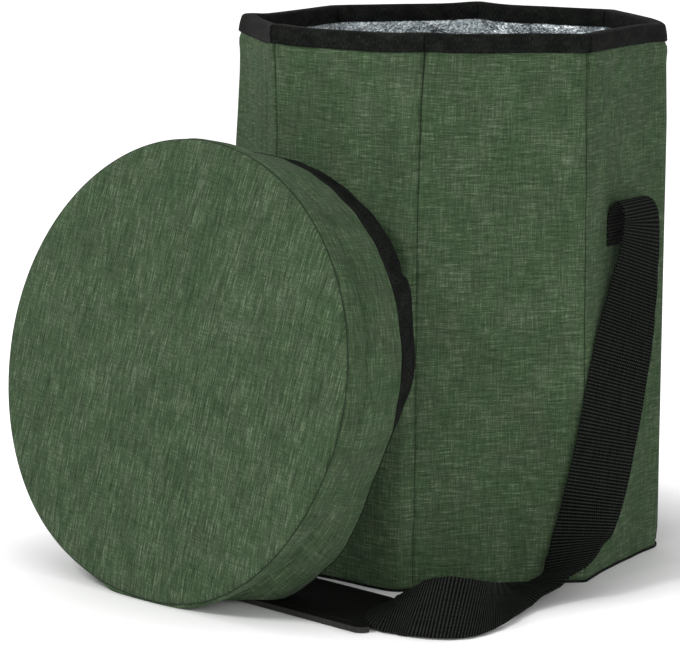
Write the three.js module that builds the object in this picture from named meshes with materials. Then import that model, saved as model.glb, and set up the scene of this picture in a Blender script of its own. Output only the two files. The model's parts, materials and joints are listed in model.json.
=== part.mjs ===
// Octagonal insulated cooler bag, with its padded seat lid taken off and leaning on it,
// and a webbing shoulder strap that carries a sliding pad.
// Millimetres, +Z up. The origin is the centre of the tub's underside, on the floor.
import * as THREE from "three";

// Tub
const PANELS = ["front", "front_right", "right", "back_right", "back", "back_left", "left", "front_left"];
const TUB_HEIGHT = 404;
const APOTHEM_BASE = 151;
const APOTHEM_RIM = 149;
const COVER_T = 0.8;
const BOARD_T = 1.6;
const FOAM_T = 4;
const LINER_T = 0.5;
const BASE_COVER_T = 0.8;
const BASE_BOARD_T = 3;
const BASE_FOAM_T = 5;
const RIM_TAPE_T = 1.2;
const RIM_TAPE_DROP = 13.5;
const BASE_TAPE_T = 0.9;
const BASE_TAPE_RISE = 2.2;

// Clearance between pieces that touch, and what the soft pieces keep to the floor
const GAP = 0.3;
const FLOOR_GAP = 0.4;

// Lid
const LID_RADIUS = 165;
const LID_CROWN = 4.5;
const LID_COVER_T = 0.8;
const LID_FOAM_T = 22;
const LID_BOARD_T = 3.2;
const LID_LINING_T = 0.6;
const LID_INSET = 4.5;
const LID_CREASE_DRAW = 1.6;
const LID_SWELL = 1;
const LID_BOXING_DEPTH = 60;
const HEM_DEPTH = 13.5;
const HEM_T = 1.6;
const HEM_HALF_WIDTH = 167.4;
const HEM_HALF_HEIGHT = 154.7;
const HEM_LIFT = 8.6;
const HEM_SAG = 21.5;
const HEM_TUCK = 11;

// Where the skirt hangs slack: how far below the lid's middle it starts and is full, as shares of the
// radius, and how far to the right
const SAG_FROM = 0.32;
const SAG_FULL = 0.6;
const TUCK_FROM = 0;
const TUCK_FULL = 0.3;
const SLACK_FROM_RIGHT = -0.1;
const SLACK_FULL_RIGHT = 0.3;

const LID_LEAN = THREE.MathUtils.degToRad(11.4);
const LID_TURN = THREE.MathUtils.degToRad(-8.4);
const LID_ASIDE = -85;
const LEAN_GAP = 0.4;
const LID_STEPS = 48;
const CROWN_RINGS = [0, 0.4, 0.7, 0.87, 0.96, 1];

// Strap and shoulder pad
const STRAP_WIDTH = 44;
const STRAP_T = 1.5;
const SEWN_FROM = 246;
const SEWN_TO = 266;
const SEWN_ASIDE = -8;
const STEPS_PER_ROW = 2;
const PAD_LENGTH = 210;
const PAD_WIDTH = 72;
const PAD_COVER_T = 0.6;
const PAD_FOAM_T = 1.7;
const PAD_CORNER = 7;
const PAD_CORNER_STEPS = 4;
const PAD_FROM_MOUTH = 2;
const MOUTH_LEAD = 5;

const WALL_T = COVER_T + BOARD_T + FOAM_T + LINER_T + 3 * GAP;
const TURN = (2 * Math.PI) / PANELS.length;
const HALF_TURN = TURN / 2;

const wallAt = (z) => APOTHEM_BASE + ((APOTHEM_RIM - APOTHEM_BASE) * z) / TUB_HEIGHT;

const finish = (color, roughness, metalness = 0) => ({ color, roughness, metalness });
const GREEN = finish(0x4b5c45, 0.9);
const BLACK = finish(0x1d1f1d, 0.85);
const FOIL = finish(0xaeb4b4, 0.3, 0.7);
const BOARD = finish(0x8d7b60, 0.8);
const FOAM = finish(0xe6e6e0, 0.95);

const bag = new THREE.Group();
const lid = new THREE.Group();
bag.add(lid);

function addPiece(parent, name, geometry, look) {
  const mesh = new THREE.Mesh(geometry, new THREE.MeshStandardMaterial(look));
  mesh.name = name;
  parent.add(mesh);
}

// A closed body from points and triangles, turned so that its faces point out
function body(points, triangles) {
  let volume = 0;
  for (const [a, b, c] of triangles) {
    volume += points[a].dot(new THREE.Vector3().crossVectors(points[b], points[c]));
  }
  const facing = volume > 0 ? triangles : triangles.map(([a, b, c]) => [a, c, b]);
  const geometry = new THREE.BufferGeometry().setFromPoints(points);
  geometry.setIndex(facing.flat());
  return geometry;
}

// Triangles between neighbouring sections, each section being a closed outline. The diagonals turn over
// halfway round it, so that the two faces of a thin twisted strip are split alike.
function skin(sections, loops) {
  const count = sections[0].length;
  const triangles = [];
  const last = loops ? sections.length : sections.length - 1;
  for (let i = 0; i < last; i += 1) {
    const here = i * count;
    const next = ((i + 1) % sections.length) * count;
    for (let j = 0; j < count; j += 1) {
      const k = (j + 1) % count;
      if (j < count / 2) {
        triangles.push([here + j, next + j, next + k], [here + j, next + k, here + k]);
      } else {
        triangles.push([here + j, next + j, here + k], [next + j, next + k, here + k]);
      }
    }
  }
  return triangles;
}

// A ring whose sections go all the way round
function hoop(sections) {
  return body(sections.flat(), skin(sections, true));
}

// A bar from the first section to the last, closed by flat ends
function loft(sections) {
  const count = sections[0].length;
  const end = (sections.length - 1) * count;
  const triangles = skin(sections, false);
  for (let j = 1; j < count - 1; j += 1) {
    triangles.push([0, j, j + 1], [end, end + j + 1, end + j]);
  }
  return body(sections.flat(), triangles);
}

// A point in panel number k: out from the tub's axis, along the panel and up
function onPanel(k, out, along, up) {
  const angle = k * TURN;
  const x = out * Math.sin(angle) + along * Math.cos(angle);
  const y = -out * Math.cos(angle) + along * Math.sin(angle);
  return new THREE.Vector3(x, y, up);
}

// One layer of one wall panel, mitred at both corners
function wallLayer(k, depth, thickness, low, high) {
  const section = (z) => {
    const outer = wallAt(z) - depth;
    const inner = outer - thickness;
    const reach = (apothem) => apothem * Math.tan(HALF_TURN) - GAP / 2;
    return [
      onPanel(k, inner, -reach(inner), z),
      onPanel(k, outer, -reach(outer), z),
      onPanel(k, outer, reach(outer), z),
      onPanel(k, inner, reach(inner), z),
    ];
  };
  return loft([section(low), section(high)]);
}

// A corner of the octagon, at an angle between two panels
function octagonCorner(k, apothem, z) {
  return onPanel(k, apothem, apothem * Math.tan(HALF_TURN), z);
}

function octagonPlate(apothem, low, high) {
  const outline = (z) => PANELS.map((_, k) => octagonCorner(k, apothem, z));
  return loft([outline(low), outline(high)]);
}

// An octagonal ring with a profile of [depth inside the wall's outer face, height] points
function octagonRing(profile) {
  return hoop(PANELS.map((_, k) => profile.map(([depth, z]) => octagonCorner(k, wallAt(z) - depth, z))));
}

function buildTub() {
  const wallLow = BASE_COVER_T + GAP;
  const wallHigh = TUB_HEIGHT - RIM_TAPE_T - GAP;
  const boardDepth = COVER_T + GAP;
  const foamDepth = boardDepth + BOARD_T + GAP;
  const linerDepth = foamDepth + FOAM_T + GAP;
  PANELS.forEach((side, k) => {
    addPiece(bag, `outer_panel_${side}`, wallLayer(k, 0, COVER_T, wallLow, wallHigh), GREEN);
    addPiece(bag, `stiffener_board_${side}`, wallLayer(k, boardDepth, BOARD_T, wallLow, wallHigh), BOARD);
    addPiece(bag, `foam_panel_${side}`, wallLayer(k, foamDepth, FOAM_T, wallLow, wallHigh), FOAM);
  });

  const boardTop = wallLow + BASE_BOARD_T;
  const foamTop = boardTop + GAP + BASE_FOAM_T;
  const linerTop = foamTop + GAP + LINER_T;
  const insideWall = wallAt(linerTop) - linerDepth;
  addPiece(bag, "base_cover", octagonPlate(wallAt(0), 0, BASE_COVER_T), BLACK);
  addPiece(bag, "base_board", octagonPlate(insideWall, wallLow, boardTop), BOARD);
  addPiece(bag, "base_foam", octagonPlate(insideWall, boardTop + GAP, foamTop), FOAM);
  addPiece(bag, "base_liner", octagonPlate(insideWall, foamTop + GAP, linerTop), FOIL);

  const linerLow = linerTop + GAP;
  const linerBack = linerDepth + LINER_T;
  addPiece(bag, "liner_wall", octagonRing([
    [linerDepth, linerLow],
    [linerDepth, wallHigh],
    [linerBack, wallHigh],
    [linerBack, linerLow],
  ]), FOIL);

  const tapeLow = TUB_HEIGHT - RIM_TAPE_DROP;
  const tapeUnder = TUB_HEIGHT - RIM_TAPE_T;
  const outside = -GAP - RIM_TAPE_T;
  const inside = WALL_T + GAP + RIM_TAPE_T;
  addPiece(bag, "rim_binding", octagonRing([
    [outside, tapeLow],
    [outside, TUB_HEIGHT],
    [inside, TUB_HEIGHT],
    [inside, tapeLow],
    [WALL_T + GAP, tapeLow],
    [WALL_T + GAP, tapeUnder],
    [-GAP, tapeUnder],
    [-GAP, tapeLow],
  ]), BLACK);

  addPiece(bag, "base_binding", octagonRing([
    [-GAP - BASE_TAPE_T, 0],
    [-GAP - BASE_TAPE_T, BASE_TAPE_RISE],
    [-GAP, BASE_TAPE_RISE],
    [-GAP, 0],
  ]), BLACK);
}

// Lid, in its own frame: x along the wall, y up the lid's face, z out of its face.
// The foam, board and lining stack under the cover; depths are measured in from the seam.
const lidFoamTop = LID_COVER_T + GAP;
const lidFoamBottom = lidFoamTop + LID_FOAM_T;
const lidBoardTop = lidFoamBottom + GAP;
const lidBoardBottom = lidBoardTop + LID_BOARD_T;
const lidLiningTop = lidBoardBottom + GAP;
const lidCrease = lidLiningTop + LID_LINING_T;
const lidBoardRadius = LID_RADIUS - LID_INSET;
const hemTop = LID_BOXING_DEPTH + GAP;
const hemBottom = hemTop + HEM_DEPTH;

// The lid stands on the lower edge of its board, through the boxing
const lidCentreHeight = lidCrease * Math.sin(LID_LEAN) + lidBoardRadius * Math.cos(LID_LEAN)
  + FLOOR_GAP + LID_COVER_T + GAP;

// Shoulder pad stack, from the floor up
const padFoamLow = GAP + PAD_COVER_T + GAP;
const padFoamHigh = padFoamLow + PAD_FOAM_T;
const padStrapLow = padFoamHigh + GAP;
const padSleeveLow = padStrapLow + STRAP_T + GAP;
const padTop = padSleeveLow + PAD_COVER_T;
const padLine = padStrapLow + STRAP_T / 2;

// How far down the lid's face the level at a height above the floor lies, at a depth
function restLine(depth, height) {
  return -(lidCentreHeight - depth * Math.sin(LID_LEAN) - height) / Math.cos(LID_LEAN);
}

// 1 on the lower right of the skirt, which nothing holds up, and 0 elsewhere; low and high are sines
function slack(angle, low, high) {
  const below = THREE.MathUtils.smoothstep(-Math.sin(angle), low, high);
  return below * THREE.MathUtils.smoothstep(Math.cos(angle), SLACK_FROM_RIGHT, SLACK_FULL_RIGHT);
}

// How far the slack skirt hangs down
function skirtSag(angle, depth) {
  const hang = THREE.MathUtils.clamp((depth - lidCrease) / (LID_BOXING_DEPTH - lidCrease), 0, 1);
  return HEM_SAG * Math.sin((Math.PI / 2) * hang) * slack(angle, SAG_FROM, SAG_FULL);
}

// How far the slack hem turns in
function hemTuck(angle, depth) {
  const down = THREE.MathUtils.clamp((depth - hemTop) / HEM_DEPTH, 0, 1);
  return HEM_TUCK * down * slack(angle, TUCK_FROM, TUCK_FULL);
}

// A point of the lid's side at an angle round it and a depth, pressed up where it rests
function lidSide(angle, depth, inset) {
  const skirt = Math.max(0, (depth - lidCrease) / (hemBottom - lidCrease));
  const swell = LID_SWELL * Math.sin(Math.PI * Math.min(1, depth / lidCrease));
  const drawn = LID_RADIUS + swell - LID_CREASE_DRAW * Math.min(1, (depth / lidCrease) ** 3);
  const inward = inset + hemTuck(angle, depth);
  const across = THREE.MathUtils.lerp(drawn, HEM_HALF_WIDTH, skirt) - inward;
  const upward = THREE.MathUtils.lerp(drawn, HEM_HALF_HEIGHT, skirt) - inward;
  const rest = restLine(depth, depth > lidCrease ? padTop + GAP : FLOOR_GAP) + inset;
  const y = HEM_LIFT * skirt + upward * Math.sin(angle) - skirtSag(angle, depth);
  return new THREE.Vector3(across * Math.cos(angle), Math.max(y, rest), -depth);
}

function lidHoop(depths, thickness) {
  const outside = depths.map((depth) => [depth, 0]);
  const inside = depths.map((depth) => [depth, thickness]).reverse();
  const profile = [...outside, ...inside];
  const sections = [];
  for (let i = 0; i < LID_STEPS; i += 1) {
    const angle = (2 * Math.PI * i) / LID_STEPS;
    sections.push(profile.map(([depth, inset]) => lidSide(angle, depth, inset)));
  }
  return hoop(sections);
}

// The crowned face's height over the seam at a radius
function crownAt(radius) {
  return LID_CROWN * (1 - (radius / LID_RADIUS) ** 4);
}

// A disc turned about the face's axis; both rims are lists of [radius, height]
function disc(upper, lower) {
  const profile = [...lower, ...upper.reverse()].map(([radius, z]) => new THREE.Vector2(radius, z));
  const geometry = new THREE.LatheGeometry(profile, LID_STEPS);
  geometry.rotateX(Math.PI / 2);
  return geometry;
}

function buildLid() {
  const crowned = (radius, drop) => CROWN_RINGS.map((share) => {
    const r = share * radius;
    return [r, crownAt(r) - drop];
  });
  const flat = (depth) => [[0, -depth], [lidBoardRadius, -depth]];
  const cover = disc(crowned(LID_RADIUS, 0), crowned(LID_RADIUS, LID_COVER_T));
  const foam = disc(crowned(lidBoardRadius, lidFoamTop), flat(lidFoamBottom));
  addPiece(lid, "lid_top_cover", cover, GREEN);
  addPiece(lid, "lid_foam_pad", foam, FOAM);
  addPiece(lid, "lid_board", disc(flat(lidBoardTop), flat(lidBoardBottom)), BOARD);
  addPiece(lid, "lid_lining", disc(flat(lidLiningTop), flat(lidCrease)), FOIL);

  const skirtMid = (lidCrease + LID_BOXING_DEPTH) / 2;
  const boxing = [lidFoamTop, lidCrease / 3, (lidCrease * 2) / 3, lidCrease, skirtMid, LID_BOXING_DEPTH];
  addPiece(lid, "lid_boxing", lidHoop(boxing, LID_COVER_T), GREEN);
  addPiece(lid, "lid_hem_binding", lidHoop([hemTop, (hemTop + hemBottom) / 2, hemBottom], HEM_T), BLACK);

  const out = new THREE.Vector3(Math.sin(LID_TURN), -Math.cos(LID_TURN), 0);
  const aside = new THREE.Vector3(Math.cos(LID_TURN), Math.sin(LID_TURN), 0);
  const axis = out.clone().multiplyScalar(Math.cos(LID_LEAN));
  axis.z = Math.sin(LID_LEAN);
  const upFace = new THREE.Vector3().crossVectors(axis, aside);
  lid.quaternion.setFromRotationMatrix(new THREE.Matrix4().makeBasis(aside, upFace, axis));

  // The top of the hem leans on the tub's edge between the front and front-left panels
  const topOfHem = axis.clone().multiplyScalar(-hemBottom);
  topOfHem.addScaledVector(upFace, HEM_LIFT + HEM_HALF_HEIGHT);
  const wall = wallAt(lidCentreHeight + topOfHem.z);
  const edgeX = -wall * Math.tan(HALF_TURN);
  const alongHem = edgeX - (LID_ASIDE + topOfHem.x);
  const wallLine = -(wall + LEAN_GAP) - topOfHem.y - alongHem * Math.tan(LID_TURN);
  lid.position.set(LID_ASIDE, wallLine, lidCentreHeight);
}

// The strap's route: pairs of points on its two edges, placed from the walls they pass
const sideWall = wallAt((SEWN_FROM + SEWN_TO) / 2);
const frontWall = wallAt(0);
const rightSide = (out, along, up) => new THREE.Vector3(sideWall + out, along, up);
const rightFront = (out, ahead, up) => new THREE.Vector3(sideWall + out, -frontWall - ahead, up);
const leftSide = (out, along, up) => new THREE.Vector3(-sideWall - out, along, up);
const leftFront = (out, ahead, up) => new THREE.Vector3(-sideWall - out, -frontWall - ahead, up);

const sewnOut = GAP + STRAP_T / 2;
const sewnEdges = (side, up) => [
  side(sewnOut, SEWN_ASIDE - STRAP_WIDTH / 2, up),
  side(sewnOut, SEWN_ASIDE + STRAP_WIDTH / 2, up),
];

// Where the strap goes into the straight run that carries the pad, at its two ends
const mouthRight = rightFront(-58, 82, padLine);
const mouthLeft = leftFront(18, 32, padLine);
const padAxis = mouthLeft.clone().sub(mouthRight).normalize();
const padAcross = new THREE.Vector3(padAxis.y, -padAxis.x, 0);
const runEdges = (mouth, along) => {
  const point = mouth.clone().addScaledVector(padAxis, along);
  return [
    point.clone().addScaledVector(padAcross, STRAP_WIDTH / 2),
    point.clone().addScaledVector(padAcross, -STRAP_WIDTH / 2),
  ];
};

const loopRows = (side) => [
  sewnEdges(side, SEWN_TO + GAP),
  [side(1.6, -30, 270.5), side(1.6, 14, 270.5)],
  [side(4.2, -30, 276.2), side(4.8, 14, 276.4)],
  [side(8.6, -30, 278.8), side(10.5, 14, 279)],
  [side(12.6, -30, 276), side(16.4, 13.8, 276.3)],
  [side(14.6, -30.2, 268.5), side(20.4, 13.5, 269)],
];

const rightRoute = [
  ...loopRows(rightSide),
  [rightSide(14.3, -30.4, 255), rightSide(22.2, 12.9, 256.5)],
  [rightSide(11, -31, 238), rightSide(23.3, 11.2, 240.5)],
  [rightSide(6.5, -41, 207), rightSide(28.5, -3, 211)],
  [rightSide(5, -49, 188), rightSide(35, -17, 192)],
  [rightSide(4.2, -57, 167), rightSide(38.8, -30, 169)],
  [rightSide(3.6, -70, 127), rightSide(41, -47, 129)],
  [rightSide(2, -75, 106), rightSide(40, -53, 108.5)],
  [rightSide(-2, -80, 75), rightSide(38, -62, 77.5)],
  [rightSide(-9, -83, 42), rightSide(31, -68, 46)],
  [rightSide(-10, -91, 24), rightSide(30, -88, 35)],
  [rightSide(-10.5, -98, 12), rightSide(28, -102, 26)],
  [rightFront(-19, -47, 6), rightFront(22, -38, 20)],
  [rightFront(-24, -35, 7), rightFront(17, -26, 12.5)],
  [rightFront(-30, -24, 8.5), rightFront(13, -10, 9.5)],
  [rightFront(-31, -7.5, 13), rightFront(10.2, 5, 5)],
  [rightFront(-25.3, 15.4, 20.5), rightFront(12.9, 29.7, 4)],
  [rightFront(-19.8, 37.6, 27.8), rightFront(14, 51, 3)],
  [rightFront(-15.8, 56, 33.6), rightFront(12.5, 67.7, 2)],
  [rightFront(-12.8, 71.7, 38.3), rightFront(8.2, 83, 1.4)],
  [rightFront(-15, 77.6, 39.4), rightFront(0, 93.5, 1.2)],
  [rightFront(-19, 78.9, 38.9), rightFront(-10.3, 100.3, 1.4)],
  [rightFront(-24.7, 78.1, 36.9), rightFront(-20.9, 104.1, 1.6)],
  [rightFront(-32.4, 74.5, 33), rightFront(-31.4, 105.3, 1.6)],
  [rightFront(-40, 71, 26.5), rightFront(-41, 106.5, 1.6)],
  [rightFront(-46, 68.5, 19), rightFront(-47, 107.3, 1.6)],
  [rightFront(-49, 65, 9.5), rightFront(-57, 107.6, 2.2)],
  runEdges(mouthRight, 0),
];

const leftRoute = [
  ...loopRows(leftSide),
  [leftSide(15, -30.5, 255), leftSide(20.5, 13, 257)],
  [leftSide(15.5, -31.5, 235), leftSide(20, 12.2, 236)],
  [leftSide(17, -34, 190), leftSide(19, 10, 191)],
  [leftSide(18, -43.5, 129), leftSide(26, 0, 131)],
  [leftSide(18, -53.5, 74), leftSide(38, -14.5, 76.5)],
  [leftSide(19, -62, 38), leftSide(51, -32, 43)],
  [leftSide(21, -68, 18), leftSide(60, -49, 25)],
  [leftSide(27, -78, 10), leftSide(69, -66, 12)],
  [leftSide(33, -94, 20), leftSide(73, -90, 3)],
  [leftFront(45, -29, 31), leftFront(77, -32, 1.2)],
  [leftFront(57, -3, 38), leftFront(79, -4, 1.2)],
  [leftFront(54, 10, 38), leftFront(74, 19, 1.2)],
  [leftFront(47, 13, 33), leftFront(61, 39, 1.2)],
  [leftFront(35, 12, 20), leftFront(43, 50, 1.6)],
  runEdges(mouthLeft, MOUTH_LEAD),
  runEdges(mouthLeft, 0),
];

// Webbing of even width and thickness along a route's rows
function ribbon(rows) {
  const middle = new THREE.CatmullRomCurve3(rows.map(([a, b]) => a.clone().add(b).multiplyScalar(0.5)));
  const across = new THREE.CatmullRomCurve3(rows.map(([a, b]) => b.clone().sub(a).normalize()));
  const steps = (rows.length - 1) * STEPS_PER_ROW;
  const sections = [];
  for (let i = 0; i <= steps; i += 1) {
    const centre = middle.getPoint(i / steps);
    const along = middle.getTangent(i / steps);
    const wide = across.getPoint(i / steps).setLength(STRAP_WIDTH / 2);
    const thick = new THREE.Vector3().crossVectors(along, wide).normalize().multiplyScalar(STRAP_T / 2);
    const edge = (side, face) => centre.clone().addScaledVector(wide, side).addScaledVector(thick, face);
    sections.push([edge(-1, -1), edge(1, -1), edge(1, 1), edge(-1, 1)]);
  }
  return loft(sections);
}

function buildStrap() {
  const anchor = (side) => ribbon([sewnEdges(side, SEWN_FROM), sewnEdges(side, SEWN_TO)]);
  const padRun = ribbon([runEdges(mouthRight, GAP), runEdges(mouthLeft, -GAP)]);
  addPiece(bag, "strap_anchor_right", anchor(rightSide), BLACK);
  addPiece(bag, "strap_right", ribbon(rightRoute), BLACK);
  addPiece(bag, "strap_anchor_left", anchor(leftSide), BLACK);
  addPiece(bag, "strap_left", ribbon(leftRoute), BLACK);
  addPiece(bag, "strap_pad_run", padRun, BLACK);
}

// A flat plate of the pad's outline, with rounded corners
function padPlate(low, thickness) {
  const half = PAD_WIDTH / 2;
  const outline = new THREE.Shape();
  outline.absarc(PAD_LENGTH - PAD_CORNER, half - PAD_CORNER, PAD_CORNER, 0, Math.PI / 2);
  outline.absarc(PAD_CORNER, half - PAD_CORNER, PAD_CORNER, Math.PI / 2, Math.PI);
  outline.absarc(PAD_CORNER, PAD_CORNER - half, PAD_CORNER, Math.PI, Math.PI * 1.5);
  outline.absarc(PAD_LENGTH - PAD_CORNER, PAD_CORNER - half, PAD_CORNER, -Math.PI / 2, 0);
  const upright = { depth: thickness, bevelEnabled: false, curveSegments: PAD_CORNER_STEPS };
  const plate = new THREE.ExtrudeGeometry(outline, upright);
  plate.translate(0, 0, low);
  return plate;
}

// The sleeve over the webbing: a top sheet with a seam down each side
function padSleeve() {
  const half = PAD_WIDTH / 2;
  const slot = STRAP_WIDTH / 2 + GAP;
  const profile = [
    [-half, padStrapLow],
    [-half, padTop],
    [half, padTop],
    [half, padStrapLow],
    [slot, padStrapLow],
    [slot, padSleeveLow],
    [-slot, padSleeveLow],
    [-slot, padStrapLow],
  ];
  const shape = new THREE.Shape(profile.map(([across, up]) => new THREE.Vector2(across, up)));
  const sleeve = new THREE.ExtrudeGeometry(shape, { depth: PAD_LENGTH, bevelEnabled: false });
  const lengthways = new THREE.Vector3(1, 0, 0);
  const sideways = new THREE.Vector3(0, 1, 0);
  const upward = new THREE.Vector3(0, 0, 1);
  sleeve.applyMatrix4(new THREE.Matrix4().makeBasis(sideways, upward, lengthways));
  return sleeve;
}

function buildPad() {
  const pad = new THREE.Group();
  pad.position.copy(mouthRight).addScaledVector(padAxis, PAD_FROM_MOUTH);
  pad.position.z = 0;
  pad.rotation.z = Math.atan2(padAxis.y, padAxis.x);
  bag.add(pad);
  addPiece(pad, "pad_base", padPlate(GAP, PAD_COVER_T), BLACK);
  addPiece(pad, "pad_foam", padPlate(padFoamLow, PAD_FOAM_T), FOAM);
  addPiece(pad, "pad_sleeve", padSleeve(), BLACK);
}

buildTub();
buildLid();
buildStrap();
buildPad();

export default bag;
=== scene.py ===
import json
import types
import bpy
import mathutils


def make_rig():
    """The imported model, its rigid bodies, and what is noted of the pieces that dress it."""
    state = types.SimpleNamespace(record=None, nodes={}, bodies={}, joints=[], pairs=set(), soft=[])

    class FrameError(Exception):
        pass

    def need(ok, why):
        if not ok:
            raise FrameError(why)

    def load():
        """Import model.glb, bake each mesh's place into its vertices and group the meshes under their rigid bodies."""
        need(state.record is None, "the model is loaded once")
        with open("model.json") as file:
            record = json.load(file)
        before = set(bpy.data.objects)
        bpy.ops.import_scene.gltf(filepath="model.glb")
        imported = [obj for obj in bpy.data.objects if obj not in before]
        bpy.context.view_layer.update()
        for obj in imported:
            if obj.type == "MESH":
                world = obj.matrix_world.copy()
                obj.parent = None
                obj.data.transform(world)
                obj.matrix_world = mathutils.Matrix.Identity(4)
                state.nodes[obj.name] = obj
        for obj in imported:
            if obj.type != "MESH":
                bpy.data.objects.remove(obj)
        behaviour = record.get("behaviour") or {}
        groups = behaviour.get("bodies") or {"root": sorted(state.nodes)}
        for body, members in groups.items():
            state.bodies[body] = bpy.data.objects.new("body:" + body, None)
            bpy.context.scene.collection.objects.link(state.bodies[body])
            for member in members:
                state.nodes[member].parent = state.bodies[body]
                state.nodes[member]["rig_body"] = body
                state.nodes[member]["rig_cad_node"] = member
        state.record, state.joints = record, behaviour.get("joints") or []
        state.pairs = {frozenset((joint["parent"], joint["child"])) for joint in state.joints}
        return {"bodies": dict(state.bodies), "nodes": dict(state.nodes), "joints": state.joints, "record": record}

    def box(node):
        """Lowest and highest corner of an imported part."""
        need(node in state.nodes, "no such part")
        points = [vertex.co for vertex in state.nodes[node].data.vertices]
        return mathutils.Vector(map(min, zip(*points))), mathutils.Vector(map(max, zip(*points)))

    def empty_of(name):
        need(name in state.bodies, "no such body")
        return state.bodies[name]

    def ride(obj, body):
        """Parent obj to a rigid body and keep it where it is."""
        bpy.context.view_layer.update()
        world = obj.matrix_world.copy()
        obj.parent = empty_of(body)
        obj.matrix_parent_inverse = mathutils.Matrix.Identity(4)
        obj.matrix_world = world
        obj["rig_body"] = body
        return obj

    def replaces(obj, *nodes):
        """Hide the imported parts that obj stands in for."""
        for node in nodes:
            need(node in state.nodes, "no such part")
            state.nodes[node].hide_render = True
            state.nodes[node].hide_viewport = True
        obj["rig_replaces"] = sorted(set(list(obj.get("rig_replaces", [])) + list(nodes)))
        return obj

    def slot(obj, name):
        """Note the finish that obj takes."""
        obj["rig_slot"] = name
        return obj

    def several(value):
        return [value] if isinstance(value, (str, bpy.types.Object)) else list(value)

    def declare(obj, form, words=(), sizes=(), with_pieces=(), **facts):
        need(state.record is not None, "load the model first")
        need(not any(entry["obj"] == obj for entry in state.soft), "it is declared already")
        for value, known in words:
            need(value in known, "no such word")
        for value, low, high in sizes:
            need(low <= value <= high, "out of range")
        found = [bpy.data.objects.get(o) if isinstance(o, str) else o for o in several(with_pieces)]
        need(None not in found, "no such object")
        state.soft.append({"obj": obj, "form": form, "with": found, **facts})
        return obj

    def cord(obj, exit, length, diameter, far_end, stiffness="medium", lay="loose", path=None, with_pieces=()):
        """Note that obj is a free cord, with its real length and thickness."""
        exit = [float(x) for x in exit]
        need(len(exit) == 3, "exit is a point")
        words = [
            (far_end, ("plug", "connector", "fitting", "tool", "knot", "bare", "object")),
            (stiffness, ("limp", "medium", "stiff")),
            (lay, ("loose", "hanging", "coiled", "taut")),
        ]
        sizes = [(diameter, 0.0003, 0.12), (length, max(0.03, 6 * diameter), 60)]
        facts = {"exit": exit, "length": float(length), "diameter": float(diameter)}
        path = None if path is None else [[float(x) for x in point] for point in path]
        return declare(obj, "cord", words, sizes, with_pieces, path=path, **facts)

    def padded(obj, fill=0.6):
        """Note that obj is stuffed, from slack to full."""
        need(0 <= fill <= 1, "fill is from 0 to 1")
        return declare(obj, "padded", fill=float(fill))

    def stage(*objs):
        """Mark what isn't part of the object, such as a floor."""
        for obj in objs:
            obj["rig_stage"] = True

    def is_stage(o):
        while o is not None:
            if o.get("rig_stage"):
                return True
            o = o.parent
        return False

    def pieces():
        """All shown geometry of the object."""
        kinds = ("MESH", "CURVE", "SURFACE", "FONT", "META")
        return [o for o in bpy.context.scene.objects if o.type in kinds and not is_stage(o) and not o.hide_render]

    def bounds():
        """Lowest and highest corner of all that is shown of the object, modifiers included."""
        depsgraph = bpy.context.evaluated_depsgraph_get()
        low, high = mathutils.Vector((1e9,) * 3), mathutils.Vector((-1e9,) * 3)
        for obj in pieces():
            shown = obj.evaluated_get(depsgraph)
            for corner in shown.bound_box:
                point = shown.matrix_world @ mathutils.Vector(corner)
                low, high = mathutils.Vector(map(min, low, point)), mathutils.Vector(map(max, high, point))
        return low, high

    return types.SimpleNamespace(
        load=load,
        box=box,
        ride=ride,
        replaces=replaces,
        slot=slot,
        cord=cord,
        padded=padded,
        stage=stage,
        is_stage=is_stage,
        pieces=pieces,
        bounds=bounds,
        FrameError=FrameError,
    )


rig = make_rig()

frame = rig.load()
cad_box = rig.bounds()

import json
from itertools import accumulate, product
from math import atan2, cos, degrees, dist, exp, hypot, pi, radians, sin, sqrt, tan, tau

import bmesh
import bpy
from mathutils import Matrix, Vector, noise

# Lengths of the bag are in mm, and piece() turns them to metres
MM = 0.001
UP = Vector((0, 0, 1))
UV_NAME = "weave"
YARN_PITCH = 0.62


def box_of(node):
    """The two corners of a solid's box."""
    return [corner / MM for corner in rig.box(node)]


# Photograph's camera: image width in pixels, place in metres, heading, pitch, roll and focal length
IMAGE_WIDTH = 680
CAMERA_PLACE = Vector((1.0777, -1.8659, 0.5562))
CAMERA_HEADING = Vector((-0.5335, 0.8458, 0))
CAMERA_PITCH = radians(10.22)
CAMERA_ROLL = radians(-0.37)
FOCAL_PIXELS = 2823.5
SENSOR_WIDTH = 36

# Tub, with its main sizes read from the frame
SIDES = ("front", "front_right", "right", "back_right", "back", "back_left", "left", "front_left")
PANELS = range(len(SIDES))
TURN = tau / len(SIDES)
COVER_T = 0.8
LINER_T = 0.5
WALL_T = 7.8
RIM_TAPE_T = 1.2
TAPE_GAP = 0.3
panel_low, panel_high = box_of("outer_panel_front")
APOTHEM_BASE = box_of("base_cover")[1].y
APOTHEM_TOP = COVER_T - panel_high.y
WALL_LOW = panel_low.z
WALL_HIGH = panel_high.z
RIM_LOW = box_of("rim_binding")[0].z
RIM_HIGH = box_of("rim_binding")[1].z
RIM_STITCH = 2.1
RIM_FOLD = 0.3
RIM_SLIT = 1.6
RIM_SHOULDER = ((0, 2.6), (0.45, 1.3), (1.4, 0.45), (3, 0.1))
RIM_STITCHES = 37
TAPE_HALF = 62
PANEL_HALF = 62.5
STITCH_WIDTH = 0.5
STITCH_RISE = 0.28
BASE_TAPE_HIGH = box_of("base_binding")[1].z
LINER_LOW = box_of("liner_wall")[0].z
FOIL_COLUMNS = 34
FOIL_ROWS = 104
FOIL_HALF = 59.5

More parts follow.
